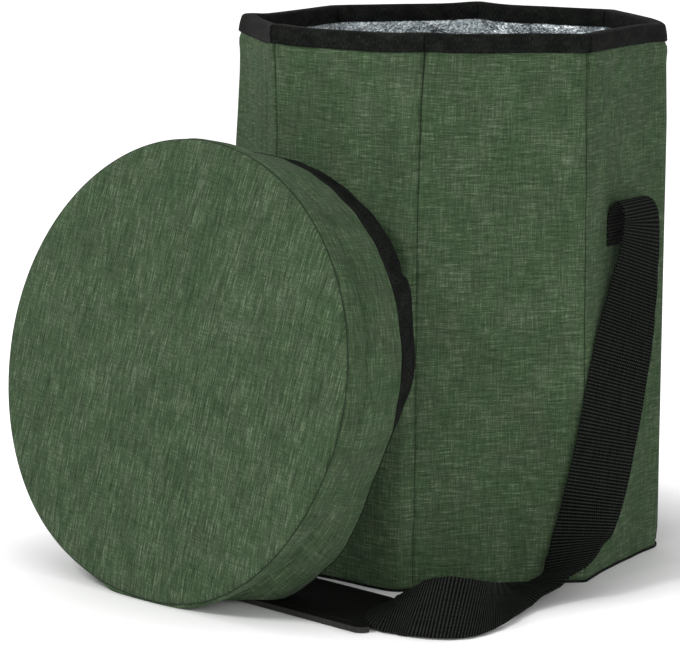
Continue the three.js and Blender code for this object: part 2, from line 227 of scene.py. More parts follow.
# How the sewn corners stray from the plain octagon, at heights: out from the axis,
# round the tub, and up at the rim. Corner k lies between panels k and k + 1.
CORNER_PUSH = {
    1: ((0, 3), (200, 0.5), (404, 0)),
    2: ((0, 2.6), (15, 4.2), (200, 4.4), (330, 4.6), (385, 3), (404, 0.5)),
    6: ((0, 2), (150, 5), (305, 7), (330, 5.5), (360, 4), (392, 3.5), (404, 1)),
    7: ((0, 0), (330, 0), (404, 1.5)),
}
CORNER_DRIFT = {
    0: ((0, -2.6), (55, -1.8), (187, -2), (282, -1.7), (355, -0.4), (404, 2.4)),
    1: ((0, 2.4), (200, 0.3), (404, -0.5)),
    7: ((0, 0), (330, 0), (404, -2)),
}
STILL = ((0, 0), (404, 0))
RIM_RISE = {0: 1.5, 1: -0.7, 2: -1.5, 4: 1.5, 6: 1.8, 7: 2}
RIM_TILT = 2.2
CORNER_REACH = 18
CORNER_RADIUS = {2: 30, 6: 14}
PLAIN_CORNER_RADIUS = 7

# Cloth and boards stray in full, and layers deeper than the second of these do not
SKIN_FULL = 3
SKIN_NONE = 6

# The front panel turns its corner this far short of the seam, at heights
FRONT_WRAP = ((0, 9), (200, 8.4), (300, 3), (370, 0), (404, 0))
WRAP_FADE = 55
FRONT_BOW = 6.5

# Single folds in the cloth: how far out, half-width, and (height, place across)
FOLDS = {
    0: (
        (-1.4, 2.4, ((280, 13.5), (342, 8.2), (386, 2))),
        (-1.0, 2.2, ((264, 36.5), (308, 33.5))),
    ),
    1: ((0.5, 6, ((90, -20), (250, -26))), (-0.5, 4, ((120, 34), (300, 30)))),
    2: (
        (2.6, 3.4, ((335, -35), (369, -44), (391, -61))),
        (2.0, 4.2, ((345, 6), (389, -14))),
        (-1.8, 3.4, ((312, -23), (364, -25))),
    ),
    7: (
        (1.3, 3.4, ((285, -24), (391, -20))),
        (1.1, 3, ((300, 12), (392, 17))),
        (-1, 3, ((280, 32), (390, 36))),
    ),
}
SEAM_STEPS = (0, 0.4, 0.8, 1.3, 1.9, 2.7, 3.8, 5.2, 7, 8.4, 10, 12)
SEAM_WIDTH = 1.0
SEAM_SHADE_HALF_WIDTH = 0.45
ROUND_SEAM = 0.3
PANEL_COLUMNS = 46
PANEL_ROWS = 96
BOARD_DEPTHS = (2.2, 2.95)
BOARD_SHARE = 0.95
BOARD_ROWS = 24
BOARD_COLUMNS = 16

# Lid, in its own frame: x along the wall, y up its face, depth in from its face
LID_RADIUS = 165
LID_CROWN = 4.5
LID_BOARD_DEPTH = 25
LID_CREASE = 27.5
LID_LINING_DEPTH = 27
LID_BOXING_DEPTH = 60
LID_COVER_T = 0.8
HEM_TOP = 60.3
HEM_BOTTOM = 73.8
HEM_T = 1.6
HEM_HALF_WIDTH = 167.4
HEM_HALF_HEIGHT = 154.7
HEM_LIFT = 8.6
HEM_SAG = 21.5
HEM_TUCK = 11
CREASE_DRAW = 1.6
LID_SWELL = 1.4
SEAM_DEPTH = 2.4
CREASE_AT = 24
FLOOR_GAP = 0.4
HEM_PROUD = 0.4
HEM_STITCHES = 320
WRINKLE_LINE = -31
WRINKLE_WIDTH = 2.6
WRINKLE_RISE = 0.55
PAD_TOP = box_of("pad_sleeve")[1].z
LID_STEPS = 360
LINING_RADIUS = 160
LINING_RINGS = 29
LINING_STEPS = 144
BASE_RINGS = 25
BASE_STEPS = 128
FOIL_SHARP = 12

# How the skirt and its hem stray from their ovals, at angles in degrees
SKIRT_STRAY = ((-60, 0), (-25, -2.2), (20, -2.2), (32, 0), (60, 0))
HEM_STRAY = ((8, 0), (22, 1.2), (27, 3.2), (30, 2.6), (32.5, -1), (35, 1.2), (38, 1.6), (46, 1), (58, 0))

# How much further the hem laps over the skirt than its solid does, likewise
HEM_LAP = ((20, 0.6), (45, 3.4), (90, 3.4), (120, 0.6))

# How far the face strays from its circle, and how far the side swells below its seam, likewise
FACE_STRAY = ((-180, 2), (-140, 3.6), (-98, 0.2), (-64, 4.4), (-20, 0), (55, 0), (110, 2), (180, 2))
BELLY = ((-118, 0), (-88, 5), (-55, 0))

# Strap and pad
STRAP_WIDTH = 44
STRAP_EDGES = (-STRAP_WIDTH / 2, STRAP_WIDTH / 2)
STRAP_T = 1.5
RIB_PITCH = 2.5
RIB_HEIGHT = 0.3
BEAD_PITCH = 1.4
STEPS_PER_RIB = 4
ROW_STEPS = 24
SEWN_FROM = 246
SEWN_TO = 266
SEWN_ASIDE = -8
END_STITCH = 3.3
PAD_LENGTH = 210
PAD_WIDTH = 72
PAD_MOUTH = ((-36, -5), (-22, 9.5), (-2, 20), (27, 27), (36, 26))
PAD_ROWS = 90
PAD_COLUMNS = 18
PAD_CORNER = 8
PAD_EDGE_ROUND = 1
PAD_STITCH_LINE = 31.5
PAD_STITCHES = 58
PAD_COVER = 0.6
MOUTH_LEAD = 5
STRAP_LEVEL = 30

record = frame["record"]


def part_of(low, high, value):
    """How far a value is from low to high, from 0 to 1."""
    return min(1, max(0, (value - low) / (high - low)))


def smooth(low, high, value):
    share = part_of(low, high, value)
    return share * share * (3 - 2 * share)


def table(points, value, eased=False):
    """Between (place, size) pairs: straight lines, or eased ones that are level at each pair."""
    for (a, low), (b, high) in zip(points, points[1:]):
        if value <= b:
            return low + (high - low) * (smooth if eased else part_of)(a, b, value)
    return points[-1][1]


def evenly(low, high, steps):
    return [low + (high - low) * i / steps for i in range(steps + 1)]


def mirrored(places, between):
    return [-place for place in places] + between + places[::-1]


def lengths_along(points):
    return [*accumulate(map(dist, points, points[1:]), initial=0)]


def polar(radius, angle):
    return radius * cos(angle), radius * sin(angle)


def wobble(x, y, z=0.0):
    """Smooth noise from about -1 to 1."""
    return noise.noise(Vector((x, y, z)))


# Materials

class Shader:
    """The node tree of a material or a world, with short calls to add and join nodes."""

    def __init__(self, name, library=bpy.data.materials, surface="Principled BSDF"):
        self.owner = library.new(name)
        self.owner.use_nodes = True
        self.tree = self.owner.node_tree
        self.surface = self.tree.nodes[surface]

    def put(self, socket, value):
        if isinstance(value, bpy.types.NodeSocket):
            self.tree.links.new(value, socket)
        else:
            socket.default_value = value

    def node(self, kind, inputs=None, **settings):
        made = self.tree.nodes.new(kind)
        for key, value in settings.items():
            setattr(made, key, value)
        for key, value in (inputs or {}).items():
            self.put(made.inputs[key], value)
        return made

    def math(self, operation, *values):
        return self.node("ShaderNodeMath", dict(enumerate(values)), operation=operation).outputs[0]

    def cloth(self):
        return self.node("ShaderNodeUVMap", uv_map=UV_NAME).outputs["UV"]

    def blobs(self, place, detail, roughness, distortion=0.0):
        return self.node("ShaderNodeTexNoise", {
            "Vector": place, "Scale": 1.0, "Detail": detail, "Roughness": roughness, "Distortion": distortion,
        }, noise_dimensions="2D").outputs["Fac"]

    def noise(self, place, size, turn=0.0, detail=2.0, roughness=0.55, distortion=0.0):
        """Noise whose blobs are about size = (wide, high) on the cloth."""
        scale = (1 / size[0], 1 / size[1], 1)
        lying = self.turned(place, turn)
        sized = self.node("ShaderNodeVectorMath", {0: lying, 1: scale}, operation="MULTIPLY")
        return self.blobs(sized.outputs[0], detail, roughness, distortion)

    def turned(self, place, angle):
        return self.node("ShaderNodeMapping", {"Vector": place, "Rotation": (0, 0, angle)}).outputs[0]

    def yarns(self, aside, along, pitch, length):
        """A level for each thread of a set, that changes along it over about a length."""
        number = self.math("FLOOR", self.math("DIVIDE", aside, pitch))
        place = self.node("ShaderNodeCombineXYZ", {
            0: self.math("MULTIPLY", number, 7.31), 1: self.math("DIVIDE", along, length),
        })
        return self.blobs(place.outputs[0], 3.0, 0.6)

    def parts(self, vector):
        """The first two parts of a vector."""
        split = self.node("ShaderNodeSeparateXYZ", {0: vector})
        return split.outputs[0], split.outputs[1]

    def wave(self, angle):
        """A sine from 0 to 1."""
        return self.math("MULTIPLY_ADD", self.math("SINE", angle), 0.5, 0.5)

    def weave(self, place, pitch):
        """Threads that pass over and under each other, two of them in each pitch."""
        turned = [self.math("MULTIPLY", part, tau / pitch) for part in self.parts(place)]
        over = self.math("MULTIPLY", *(self.math("SINE", angle) for angle in turned))
        return self.math("MULTIPLY_ADD", over, 0.5, 0.5)

    def total(self, level, *parts):
        """level plus each (value, weight), where a value of 0.5 adds nothing."""
        result = level - sum(0.5 * weight for _, weight in parts)
        for value, weight in parts:
            result = self.math("MULTIPLY_ADD", value, weight, result)
        return result

    def ramp(self, value, *stops):
        made = self.node("ShaderNodeValToRGB", {"Fac": value})
        elements = made.color_ramp.elements
        while len(elements) < len(stops):
            elements.new(0.5)
        for element, (place, color) in zip(elements, stops):
            element.position = place
            element.color = color
        return made.outputs["Color"]

    def tones(self, value, *stops):
        """A ramp of colours given as on a screen, with parts from 0 to 255."""
        def linear(part):
            share = part / 255
            return share / 12.92 if share <= 0.04045 else ((share + 0.055) / 1.055) ** 2.4

        return self.ramp(value, *((place, (*map(linear, color), 1)) for place, color in stops))

    def mix(self, share, first, second):
        return self.node("ShaderNodeMix", {0: share, 6: first, 7: second}, data_type="RGBA").outputs[2]

    def bump(self, height, strength, distance):
        made = self.node("ShaderNodeBump", {"Height": height, "Strength": strength, "Distance": distance})
        self.put(self.surface.inputs["Normal"], made.outputs["Normal"])

    def finish(self, **inputs):
        for key, value in inputs.items():
            self.put(self.surface.inputs[key.replace("_", " ")], value)
        return self.owner


def heather(name, lengthways, crossways, lean, light=1.0):
    """Green cloth of mottled yarns; the weights say how much each set of threads shows. light scales every tone, and a
    value below 1 is painted shade.
    """
    shader = Shader(name)
    cloth = shader.turned(shader.cloth(), lean)
    u, v = shader.parts(cloth)
    warp = shader.yarns(u, v, YARN_PITCH, 17)
    weft = shader.yarns(v, u, YARN_PITCH, 11)
    slub = shader.noise(cloth, (1.3, 26) if lengthways > crossways else (26, 1.3))
    grain = shader.noise(cloth, (0.7, 0.7), 0, 1)
    patch = shader.noise(cloth, (24, 48), 0, 3, 0.6)
    value = shader.total(
        0.5, (warp, lengthways), (weft, crossways), (slub, 0.35), (grain, 0.35), (patch, 0.22),
    )

    def shades(*tones):
        return shader.tones(value, *((at, [light * part for part in tone]) for at, tone in tones))

    green = shades((0.1, (33, 46, 30)), (0.42, (58, 77, 53)), (0.58, (71, 91, 65)), (0.95, (120, 138, 110)))
    grey = shades((0.1, (37, 47, 34)), (0.42, (62, 76, 56)), (0.58, (76, 90, 69)), (0.95, (126, 138, 115)))
    tone = shader.noise(cloth, (20, 30), 0, 3, 0.6)
    color = shader.mix(shader.ramp(tone, (0.34, (0, 0, 0, 1)), (0.66, (0.8, 0.8, 0.8, 1))), green, grey)
    weave = shader.weave(cloth, 2 * YARN_PITCH)
    shader.bump(shader.total(0.5, (value, 0.8), (weave, 0.5)), 0.4, 0.25 * MM)
    return shader.finish(
        Base_Color=color, Roughness=0.95, Specular_IOR_Level=0.06,
        Sheen_Weight=0.05, Sheen_Roughness=0.5, Sheen_Tint=(0.8, 0.9, 0.8, 1),
    )


def mottled(name, layers, tones, bump, rough, shine, weave=None, solid=False):
    """A material whose colour and relief are sums of noises, and of a weave of a pitch and weight.

    Each layer gives its weights in the colour and in the relief, then what Shader.noise takes.
    """
    shader = Shader(name)
    place = shader.node("ShaderNodeTexCoord").outputs["Object"] if solid else shader.cloth()
    unit = MM if solid else 1
    grains = [shader.noise(place, [unit * side for side in layer[2]], *layer[3:]) for layer in layers]
    value = shader.total(0.5, *((grain, layer[0]) for grain, layer in zip(grains, layers)))
    relief = [(grain, layer[1]) for grain, layer in zip(grains, layers)]
    if weave:
        relief.append((shader.weave(place, weave[0]), weave[1]))
    strength, depth = bump
    shader.bump(shader.total(0.5, *relief), strength, depth * MM)
    return shader.finish(Base_Color=shader.tones(value, *tones), Roughness=rough, Specular_IOR_Level=shine)


def webbing():
    """Ribbed black webbing: each rib is a row of beads, set half a bead on from the rib before. Its colour is darker
    in the valleys between ribs and beads, as painted shade.
    """
    shader = Shader("ribbed_webbing")
    cloth = shader.cloth()
    across, along = shader.parts(cloth)
    rows = shader.math("DIVIDE", along, RIB_PITCH)
    half_turn = shader.math("MULTIPLY", shader.math("FLOOR", rows), pi)
    rib = shader.wave(shader.math("MULTIPLY", rows, tau))
    bead = shader.wave(shader.math("MULTIPLY_ADD", across, tau / BEAD_PITCH, half_turn))
    yarn = shader.noise(cloth, (1.1, 20), 0, 3)
    fuzz = shader.noise(cloth, (0.5, 0.9))
    height = shader.total(0.5, (rib, 0.55), (bead, 0.4), (fuzz, 0.25))
    # The ribs and beads darken the colour in their valleys and lighten it on their tops: painted shade, mixed with the
    # yarns' own tone.
    value = shader.total(0.5, (rib, 0.65), (bead, 0.45), (yarn, 0.45), (fuzz, 0.5))
    color = shader.tones(value, (0.1, (1, 1, 1)), (0.5, (8, 10, 8)), (0.95, (50, 54, 49)))
    shader.bump(height, 0.6, 0.35 * MM)
    return shader.finish(Base_Color=color, Roughness=0.75, Specular_IOR_Level=0.04)


def pad_cloth(name, level, tint, spread):
    def tone(share):
        return [level * share * part for part in tint]

    return mottled(
        name, ((0.7, 0.7, (0.5, 2.5)), (0.7, 0.7, (2.5, 0.5))),
        ((0.2, tone(1 / spread)), (0.5, tone(1)), (0.85, tone(spread))),
        (0.35, 0.2), 0.85, 0.05, (0.9, 0.6),
    )


def foil():
    """Crinkled silver film over thin foam; its colour swings from dark grey to near white with the crinkles, as
    painted glints and painted dark reflections.
    """
    shader = Shader("crinkled_foil")
    cloth = shader.cloth()
    pleat = shader.noise(cloth, (16, 22), 0.4, 2, 0.5, 0.8)
    crinkle = shader.noise(cloth, (7, 7), 1.1, 3, 0.55, 1.0)
    glint_fleck = shader.noise(cloth, (2.2, 2.2), 0.2, 2, 0.5, 0.6)
    value = shader.total(0.5, (pleat, 0.5), (crinkle, 0.7), (glint_fleck, 0.7))
    # Dark to near-white colour that follows the crinkles: painted glints and painted dark reflections on the metal.
    color = shader.tones(value, (0.15, (70, 78, 82)), (0.5, (142, 150, 154)), (0.88, (234, 240, 242)))
    shader.bump(value, 0.7, 1.5 * MM)
    roughness = shader.ramp(crinkle, (0.2, (0.3, 0.3, 0.3, 1)), (0.8, (0.5, 0.5, 0.5, 1)))
    return shader.finish(Base_Color=color, Roughness=roughness, Metallic=0.85)


def thread(name, dark, pale):
    """Twisted sewing thread."""
    return mottled(name, [(1, 1, (0.35, 0.8), 0.6)], ((0.3, dark), (0.7, pale)), (0.3, 0.1), 0.7, 0.15)


TUB_CLOTH = heather("tub_cloth", 0.58, 0.68, 0.0)
# The lid's copy of the cloth is 3% darker: painted shade, as the upturned lid takes more light.
LID_CLOTH = heather("lid_cloth", 0.95, 0.5, radians(7), 0.97)
SIDE_CLOTH = heather("lid_side_cloth", 0.5, 0.7, 0.0)
WEBBING = webbing()
PAD_CLOTH = pad_cloth("pad_cloth", 11, (1, 1.15, 0.95), 2)
# The pad's side and underside take its black cloth in a much paler grey than the top: painted light on the side that
# faces the lamps.
PAD_SIDE_LIT = pad_cloth("pad_edge_cloth", 52, (1, 1, 0.97), 1.2)
THREAD = thread("black_thread", (9, 11, 9), (27, 30, 26))
# A dark green thread laid in the seam grooves, which paints the shade in those grooves.
SEAM_SHADE_THREAD = thread("green_thread", (18, 25, 17), (46, 58, 42))
FOIL = foil()
TAPE = mottled(
    "binding_tape", ((1.2, 1, (0.6, 3)), (0.6, 0, (14, 9), 0, 3)),
    ((0.2, (10, 12, 11)), (0.5, (20, 22, 20)), (0.85, (42, 44, 41))),
    (0.4, 0.2), 0.85, 0.05, (0.8, 0.5),
)
BOARD = mottled(
    "fibreboard", ((0.7, 0.7, (0.8, 0.8), 0, 4, 0.7), (0.5, 0.5, (25, 25), 0, 3)),
    ((0.2, (112, 92, 64)), (0.5, (141, 119, 88)), (0.85, (170, 150, 118))),
    (0.2, 0.2), 0.85, 0.25, solid=True,
)
FOAM = mottled(
    "closed_cell_foam", [(1, 1, (0.9, 0.9))], ((0.3, (214, 214, 206)), (0.7, (240, 240, 234))),
    (0.3, 0.3), 0.95, 0.2, solid=True,
)


# Meshes

def placed(name, data):
    made = bpy.data.objects.new(name, data)
    bpy.context.scene.collection.objects.link(made)
    return made


def piece(name, points, faces, uvs, material, slot, body, replaces=(), sharp=35.0):
    """One object of closed faces; uvs holds a pair for each corner of each face."""
    mesh = bpy.data.meshes.new(name)
    mesh.from_pydata([tuple(point * MM) for point in points], [], faces)
    layer = mesh.uv_layers.new(name=UV_NAME)
    layer.data.foreach_set("uv", [value for face in uvs for corner in face for value in corner])
    shape = bmesh.new()
    shape.from_mesh(mesh)
    bmesh.ops.recalc_face_normals(shape, faces=shape.faces)
    shape.to_mesh(mesh)
    shape.free()
    mesh.materials.append(material)
    mesh.polygons.foreach_set("use_smooth", [True] * len(mesh.polygons))
    mesh.set_sharp_from_angle(angle=radians(sharp))
    made = placed(name, mesh)
    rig.ride(made, body)
    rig.slot(made, slot)
    if replaces:
        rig.replaces(made, *replaces)
    return made


def closed_sheet(rows, columns, spot, uv, hoop=False):
    """Points, faces and uvs of the body between two grids.

    spot(inside, row, column) gives a point of the outer grid, or of the inner one where inside is 1.
    A hoop's last row is its first one, a turn later.
    """
    count = len(rows) - hoop
    width = len(columns)
    points = [spot(*place) for place in product((0, 1), rows[:count], columns)]
    faces = []
    uvs = []

    def add(*corners):
        faces.append([(inside * count + i % count) * width + j for inside, i, j in corners])
        uvs.append([uv(rows[i], columns[j]) for _, i, j in corners])

    for i in range(len(rows) - 1):
        for j in range(width - 1):
            add((0, i, j), (0, i + 1, j), (0, i + 1, j + 1), (0, i, j + 1))
            add((1, i, j), (1, i, j + 1), (1, i + 1, j + 1), (1, i + 1, j))
        for j in (0, width - 1):
            add((0, i, j), (1, i, j), (1, i + 1, j), (0, i + 1, j))
    if not hoop:
        for i in (0, count - 1):
            for j in range(width - 1):
                add((0, i, j), (0, i, j + 1), (1, i, j + 1), (1, i, j))
    return points, faces, uvs


def closed_disc(rings, steps, spot, uv):
    """The same for a disc, with rings from its centre and angles in place of rows and columns."""
    angles = evenly(0, tau, steps)
    edge = len(rings) - 1
    points = [spot(0, rings[0], 0), spot(1, rings[0], 0)]
    points += [spot(*place) for place in product((0, 1), rings[1:], angles[:-1])]
    faces = []
    uvs = []

    def index(side, ring, step):
        return 2 + (side * edge + ring - 1) * steps + step % steps if ring else side

    def add(*corners):
        faces.append([index(*corner) for corner in corners])
        uvs.append([uv(rings[ring], angles[step]) for _, ring, step in corners])

    for step in range(steps):
        for side in (0, 1):
            add((side, 0, step), (side, 1, step), (side, 1, step + 1))
            for ring in range(1, edge):
                near, far = (side, ring), (side, ring + 1)
                add((*near, step), (*far, step), (*far, step + 1), (*near, step + 1))
        add((0, edge, step), (1, edge, step), (1, edge, step + 1), (0, edge, step + 1))
    return points, faces, uvs


# Tub

def wall_at(z):
    return APOTHEM_BASE + (APOTHEM_TOP - APOTHEM_BASE) * z / WALL_HIGH


def on_panel(k, out, along, z):
    return Matrix.Rotation(k * TURN, 3, "Z") @ Vector((along, -out, z))


def corner_axes(corner):
    """Out from the tub's axis, and round the tub, at a corner."""
    return on_panel(corner + 0.5, 1, 0, 0), on_panel(corner + 0.5, 0, 1, 0)


def tub_reach(z, depth):
    return (wall_at(z) - depth) * tan(TURN / 2)


def front_wrap(away, z):
    """Where the front panel's cloth goes on round its corner to the seam."""
    wrap = table(FRONT_WRAP, z)
    soft = min(2, 0.4 * wrap)
    run = (away + wrap - hypot(away - wrap, soft)) / 2 - (wrap - hypot(wrap, soft)) / 2
    turned = Vector((1 - cos(TURN), -sin(TURN), 0))
    return turned * run * (1 - smooth(wrap, wrap + WRAP_FADE, away))


def tub_point(k, depth, share, z):
    """A point at a depth inside panel k's face, share from -1 to 1 across it, at a height."""
    reach = tub_reach(z, depth)
    point = on_panel(k, wall_at(z) - depth, share * reach, z)
    skin = 1 - smooth(SKIN_FULL, SKIN_NONE, depth)
    at_rim = smooth(0.7 * RIM_HIGH, RIM_HIGH, z)
    for corner, side in (((k - 1) % len(SIDES), -1), (k, 1)):
        outward, round_tub = corner_axes(corner)
        away = reach * (1 - side * share)
        towards = (1 + side * share) / 2
        near = exp(-(away / CORNER_REACH) ** 2)
        drift = table(CORNER_DRIFT.get(corner, STILL), z)
        radius = CORNER_RADIUS.get(corner, PLAIN_CORNER_RADIUS)
        short = max(0, radius * tan(TURN / 2) - away)
        lift = abs(drift) * tan(TURN / 2) * towards
        push = table(CORNER_PUSH.get(corner, STILL), z) * near
        point += round_tub * drift * towards
        point += outward * skin * (push + lift - short ** 2 / (2 * radius))
        point.z += RIM_RISE.get(corner, 0) * near * at_rim
    point.z += RIM_TILT * smooth(-60, 120, point.y) * at_rim
    if k == 0:
        bow = FRONT_BOW * (1 - share ** 4) * (1 - smooth(50, 250, z))
        point += (front_wrap(reach * (1 - share), z) + on_panel(0, bow, 0, 0)) * skin
    return point


def panel_shares(reach):
    """Places across a panel from -1 to 1, close together at the seams."""
    seam = [1 - step / reach for step in SEAM_STEPS]
    return mirrored(seam, evenly(-seam[-1], seam[-1], PANEL_COLUMNS)[1:-1])


def way_round(k, share, half):
    """How far round the tub a place on a panel lies, where panels have a half-width."""
    return (2 * k + share) * half


def single_folds(k, along, z):
    """Folds that the photograph shows, out from the panel."""
    total = 0.0
    for rise, width, line in FOLDS.get(k, ()):
        part = (z - line[0][0]) / (line[-1][0] - line[0][0])
        if 0 < part < 1:
            away = (along - table(line, z)) / width
            total += rise * sqrt(sin(pi * part)) * exp(-away ** 2)
    return total


def sewn_flat(k, along, z):
    """1 where the strap is sewn to a side panel, 0 elsewhere."""
    if k not in (2, 6):
        return 0.0
    aside = abs(along - (SEWN_ASIDE if k == 2 else -SEWN_ASIDE))
    up = smooth(SEWN_FROM - 10, SEWN_FROM - 2, z) - smooth(SEWN_TO + 14, SEWN_TO + 26, z)
    return up * (1 - smooth(STRAP_WIDTH / 2, STRAP_WIDTH / 2 + 12, aside))


def cloth_swell(k, along, edge, z):
    """How far the cloth of panel k stands out: soft pillows, ripples beside the seams, and folds."""
    pillow = 0.35 * wobble(along / 55, z / 110, 3.1 * k)
    ripple = 0.5 * wobble(along / 13, z / 190, 5.3 * k + 1.7) * exp(-edge / 32)
    long_fold = 0.35 * wobble(along / 21, z / 330, 7.9 * k + 0.4) * smooth(100, 400, z)
    under_rim = 0.9 * exp(-((z - RIM_LOW + 7) / 6) ** 2)
    swell = max(0, 0.6 + pillow + ripple + long_fold) + under_rim + single_folds(k, along, z)
    held = smooth(1.5, 7, z - WALL_LOW) * (1 - smooth(RIM_LOW - 3, RIM_LOW, z))
    return swell * held * (1 - sewn_flat(k, along, z))


def seam_sink(k, share, z):
    """The seam's groove at the nearer corner, as a vector; it is deepest below the rim."""
    corner = k if share > 0 else (k - 1) % len(SIDES)
    outward, _ = corner_axes(corner)
    edge = tub_reach(z, 0) * (1 - abs(share))
    drawn = smooth(280, 390, z)
    pull = (0.5 + 0.2 * wobble(z / 30, corner * 2.7) + 2.4 * drawn) * smooth(2, 12, z)
    pull *= ROUND_SEAM if corner in CORNER_RADIUS else 1
    return outward * (-pull * exp(-(edge / (SEAM_WIDTH * (1 + 0.5 * drawn))) ** 2))


def outer_panel(k):
    middle = tub_reach(WALL_HIGH / 2, 0)

    def spot(inside, z, share):
        edge = middle * (1 - abs(share))
        swell = cloth_swell(k, share * middle, edge, z) * smooth(0, 6, edge)
        return tub_point(k, inside * COVER_T - swell, share, z) + seam_sink(k, share, z)

    def uv(z, share):
        return way_round(k, share, middle), z

    sheet = closed_sheet(evenly(WALL_LOW, WALL_HIGH, PANEL_ROWS), panel_shares(middle), spot, uv)
    node = f"outer_panel_{SIDES[k]}"
    piece(f"cloth_{SIDES[k]}", *sheet, TUB_CLOTH, "green_fabric", "root", [node])


def stiffener_board(k):
    """The board behind a panel's cloth; it stops short of the sewn corners."""
    def spot(inside, z, share):
        return tub_point(k, BOARD_DEPTHS[inside], share, z)

    def uv(z, share):
        return share * tub_reach(0, 0), z

    shares = evenly(-BOARD_SHARE, BOARD_SHARE, BOARD_COLUMNS)
    sheet = closed_sheet(evenly(WALL_LOW, WALL_HIGH, BOARD_ROWS), shares, spot, uv)
    node = f"stiffener_board_{SIDES[k]}"
    piece(f"board_{SIDES[k]}", *sheet, BOARD, "stiffener_board", "root", [node])


TAPE_PLACES = [1 - step / TAPE_HALF for step in (0, 0.5, 1.1, 1.8, 2.8, 4.5, 8, 14, 22, 32, 44)]
TAPE_SHARES = mirrored(TAPE_PLACES, [0.0])


def on_tape(k, share, depth, z, low, fold, slit):
    """A point of a tape round the tub: it folds at the corners, and its lower edge sways."""
    edge = TAPE_HALF * (1 - abs(share))
    place = way_round(k, share, PANEL_HALF)
    bend = fold * exp(-(edge / 3.5) ** 2) - slit * exp(-(edge / 0.8) ** 2)
    loose = 0.5 * wobble(place / 17, 0.4, k % 2) + 0.35 * wobble(place / 50, 0.7, 8.5)
    sway = loose * smooth(0, 4, edge) * (1 - 0.75 * smooth(low + 2, low + 5, z))
    return tub_point(k, depth - bend, share, z + sway)


def tub_places(shares):
    """(panel, share) places once round the tub, up to the first one again."""
    return [*product(PANELS, shares[:-1]), (len(SIDES), -1)]


def tape_hoop(profile, thickness, fold, slit):
    """Tape round the tub from a profile of (depth, height)."""
    inward = []
    for (depth, z), before, after in zip(profile, profile[:1] + profile, profile[1:] + profile[-1:]):
        run = Vector((after[0] - before[0], after[1] - before[1])).normalized()
        inward.append((depth + run.y * thickness, z - run.x * thickness))
    lengths = lengths_along(profile)

    def spot(inside, place, j):
        depth, z = (profile, inward)[inside][j]
        return on_tape(*place, depth, z, profile[0][1], fold, slit)

    def uv(place, j):
        return way_round(*place, PANEL_HALF), lengths[j]

    return closed_sheet(tub_places(TAPE_SHARES), range(len(profile)), spot, uv, hoop=True)


THREAD_SECTION = (((-1, 0), (0, 1), (1, 0)), ((-0.9, -0.3), (0, -1), (0.9, -0.3)))


def thread_line(line, hoop=False):
    """A thin closed strip of thread along (middle, half-width, half-height) vectors."""
    def spot(inside, i, j):
        middle, wide, high = line[i]
        aside, up = THREAD_SECTION[inside][j]
        return middle + wide * aside + high * up

    return closed_sheet(range(len(line) + hoop), range(3), spot, lambda i, j: (j * 0.4, i * 2), hoop)


def joined(sheets):
    points = []
    faces = []
    uvs = []
    for more_points, more_faces, more_uvs in sheets:
        first = len(points)
        points += more_points
        faces += [[first + i for i in face] for face in more_faces]
        uvs += more_uvs
    return points, faces, uvs


def wall_seams():
    """Dark thread at the bottom of each upright seam, which also stands in for the groove's shade as painted shade; it
    is thicker where the seam is drawn in below the rim.
    """
    lines = []
    for corner in PANELS:
        outward, round_tub = corner_axes(corner)
        line = []
        for z in evenly(WALL_LOW + 4, RIM_LOW + 4, 120):
            bottom = tub_point(corner, 0, 1, z) + seam_sink(corner, 1, z)
            # The strip widens near the rim, where the painted shade in the groove is wider.
            wide = SEAM_SHADE_HALF_WIDTH * (0.15 + 1.7 * smooth(310, 395, z) ** 2)
            line.append((bottom + outward * 0.2, round_tub * wide, outward * 0.35))
        lines.append(thread_line(line))
    piece("wall_seam_threads", *joined(lines), SEAM_SHADE_THREAD, "green_fabric", "root")


def stitch(start, end, out):
    """A short thread from one point to another, with a direction out of the cloth."""
    along = (end - start) / 2
    across = along.cross(out).normalized() * STITCH_WIDTH / 2
    rise = out.normalized() * STITCH_RISE
    points = [start, end]
    for place in (-0.6, 0.6):
        points += [(start + end) / 2 + along * place + side for side in (across, rise, -across, -rise)]
    faces = []
    for a, b in ((2, 3), (3, 4), (4, 5), (5, 2)):
        faces += [(0, b, a), (a, b, b + 4, a + 4), (1, a + 4, b + 4)]
    return points, faces, [[(points[i].x + points[i].y, points[i].z) for i in face] for face in faces]


def dashes(count, gap=0.1):
    """Where even stitches start and end on a line from 0 to 1."""
    return [((i + gap) / count, (i + 1 - gap) / count) for i in range(count)]


def stitches(name, marks, slot, body):
    return piece(name, *joined(stitch(*mark) for mark in marks), THREAD, slot, body)


def rim_binding():
    low, high = RIM_LOW, RIM_HIGH
    out = -TAPE_GAP - RIM_TAPE_T
    back = WALL_T + TAPE_GAP + RIM_TAPE_T
    profile = [
        (out + 0.35, low), (out - 0.05, low + 0.5), (out - 0.3, low + 1.2), (out - 0.05, low + RIM_STITCH),
        (out - 0.3, low + 3.2), (out - 0.3, low + 7),
        *((out + inward, high - down) for inward, down in RIM_SHOULDER), ((out + back) / 2, high),
        *((back - inward, high - down) for inward, down in RIM_SHOULDER[::-1]),
        (back + 0.25, low + 7), (back + 0.2, low + 3), (back - 0.1, low),
    ]
    tape = tape_hoop(profile, 1.1, RIM_FOLD, RIM_SLIT)
    piece("rim_tape", *tape, TAPE, "black_binding", "root", ["rim_binding"])
    marks = []
    for k in PANELS:
        out_of_panel = on_panel(k, 1, 0, 0)
        for dash in dashes(RIM_STITCHES, 0.12):
            shares = [(2 * at - 1) * 0.97 for at in dash]
            ends = [on_tape(k, share, out, low + RIM_STITCH, low, RIM_FOLD, RIM_SLIT) for share in shares]
            marks.append((*ends, out_of_panel))
    stitches("rim_stitches", marks, "black_binding", "root")


